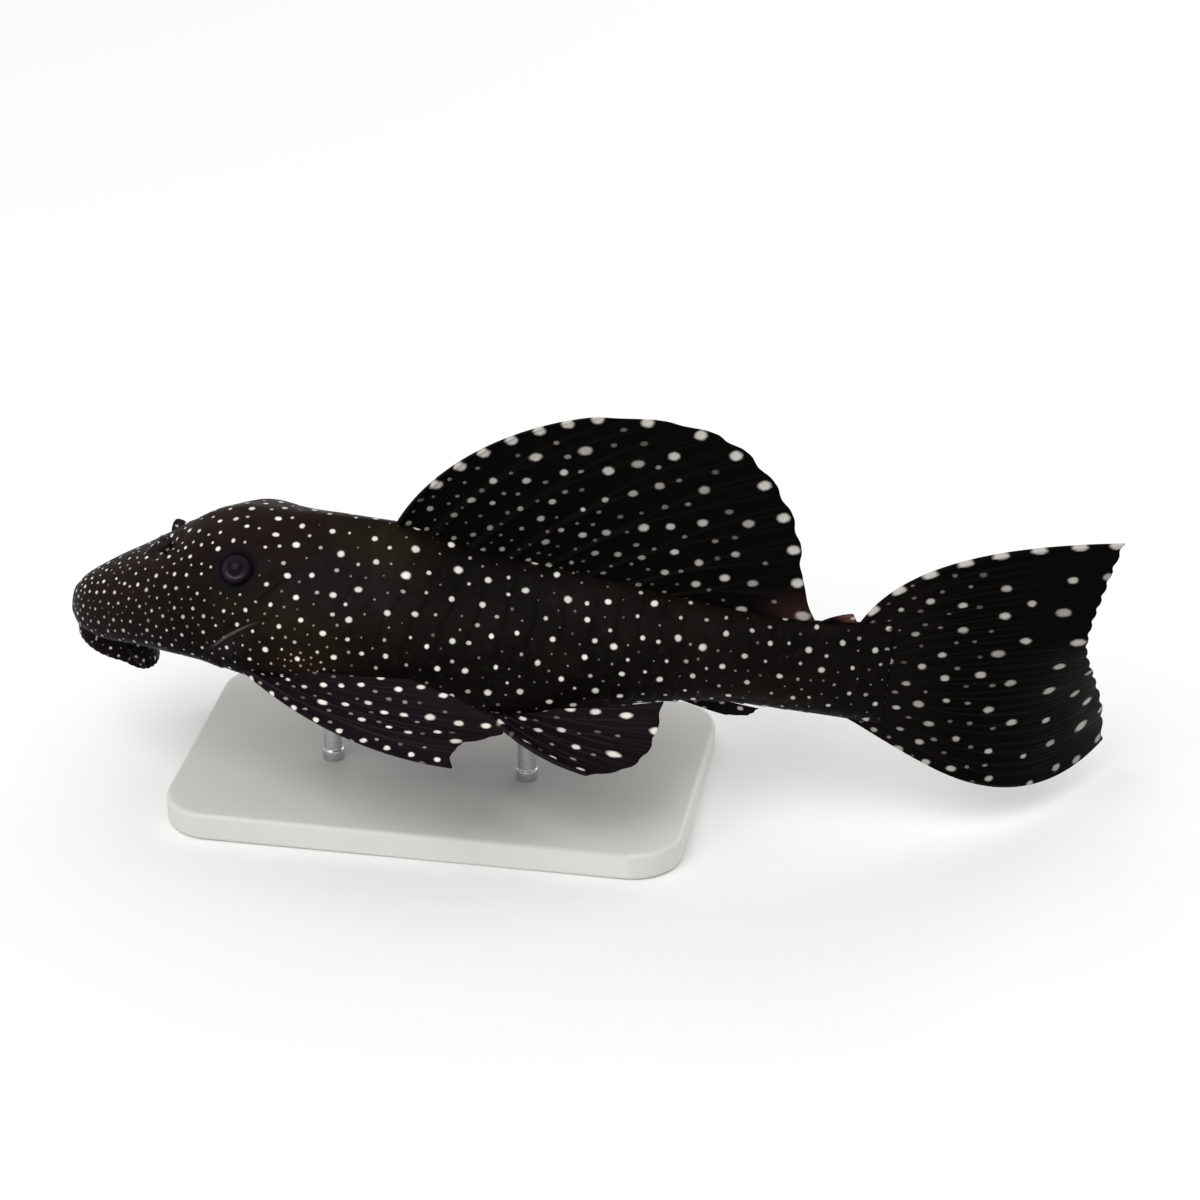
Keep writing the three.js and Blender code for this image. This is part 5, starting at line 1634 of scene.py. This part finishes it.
def slab_ring(inset, height):
    """A rectangle with round corners, drawn in by inset, at a height."""
    corner = STAND.corner
    quarter = np.linspace(0, pi / 2, CORNER_STEPS)
    turn = np.concatenate([quarter + k * pi / 2 for k in range(4)])
    centre_x = STAND.long / 2 - corner
    centre_y = STAND.wide / 2 - corner
    x = np.sign(np.cos(turn + NUDGE)) * centre_x + (corner - inset) * np.cos(turn)
    y = np.sign(np.sin(turn + NUDGE)) * centre_y + (corner - inset) * np.sin(turn)
    return np.stack([x, y, np.full(len(turn), height)], axis=1)


def slab_part():
    """The slab's profile is a quarter circle at the foot, a straight side and one at the top."""
    radius, top = STAND.round, STAND.thick
    quarter = np.linspace(0, pi / 2, EDGE_STEPS)
    out, up = radius * (1 - np.sin(quarter)), radius * (1 - np.cos(quarter))
    flat = radius + STAND.flat
    profile = [(flat, 0.0), *zip(out, up), *zip(up, top - out), (flat, top)]
    rings = np.array([slab_ring(inset, z) for inset, z in profile]) * MM
    return closed_tube(rings, (0, 0, 0), (0, 0, top * MM))


def rod_part(s):
    """A round rod with a small collar on the base and a soft pad under the belly."""
    centre = in_frame(s, 0, belly_height(s)) / MM
    ahead = in_frame(s + 1, 0, belly_height(s + 1)) / MM
    slope = (ahead[2] - centre[2]) / (ahead[0] - centre[0])
    foot, top = STAND.thick, centre[2] + PAD_SINK
    profile = [(share, foot + z) for share, z in ROD_FOOT] + [(share, top + z) for share, z in ROD_HEAD]
    share, z = np.array(profile).T[..., None]
    turn = full_turn(ROD_SIDES)
    x, y = share * (ROD_RADIUS * np.cos(turn)), share * ROD_RADIUS * np.sin(turn)
    height = z + (z > top + ROD_SLOPES_FROM) * slope * x
    rings = np.stack([centre[0] + x, centre[1] + y, height], axis=-1) * MM
    return closed_tube(rings, rings[0].mean(0), rings[-1].mean(0), pad=z > top + PAD_FROM)


def painted_metal():
    """Pale paint with a hardly visible unevenness in colour, gloss and surface."""
    material, tree, shader = new_material("stand_paint")
    colour = blend_colours(tree, clouds(tree, 12, 0.3, 0.7), (0.60, 0.59, 0.56, 1), (0.64, 0.63, 0.60, 1))
    normal = bump(tree, 0.15, 0.0001, noise(tree, 1400))
    fill(tree, shader, {"Base Color": colour, "Roughness": clouds(tree, 60, 0.3, 0.7, 0.42, 0.52),
                        "Specular IOR Level": 0.4, "Normal": normal})
    return material


def brushed_steel():
    """Steel with fine lines, which are noise pressed flat; the pad is dull black."""
    material, tree, shader = new_material("rod_steel")
    drawn = add(tree, "ShaderNodeMapping", {"Vector": own_place(tree), "Scale": (1, 1, 30)}).outputs[0]
    lines = add(tree, "ShaderNodeTexNoise", {"Vector": drawn, "Scale": 300.0, "Detail": 2.0}).outputs["Fac"]
    pad = number(tree, "pad")
    colour = blend_colours(tree, pad, (0.58, 0.58, 0.59, 1), (0.03, 0.03, 0.03, 1))
    fill(tree, shader, {"Base Color": colour, "Metallic": calculate(tree, "SUBTRACT", 1.0, pad),
                        "Roughness": ramp(tree, lines, 0.3, 0.7, 0.24, 0.40)})
    return material


base_object = mesh_object("shown_base", slab_part(), painted_metal())
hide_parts("stand_base")
rod_finish = brushed_steel()
for name, s in ROD_PLACES.items():
    made = mesh_object("shown_" + name, rod_part(s), rod_finish)
    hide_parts(name)
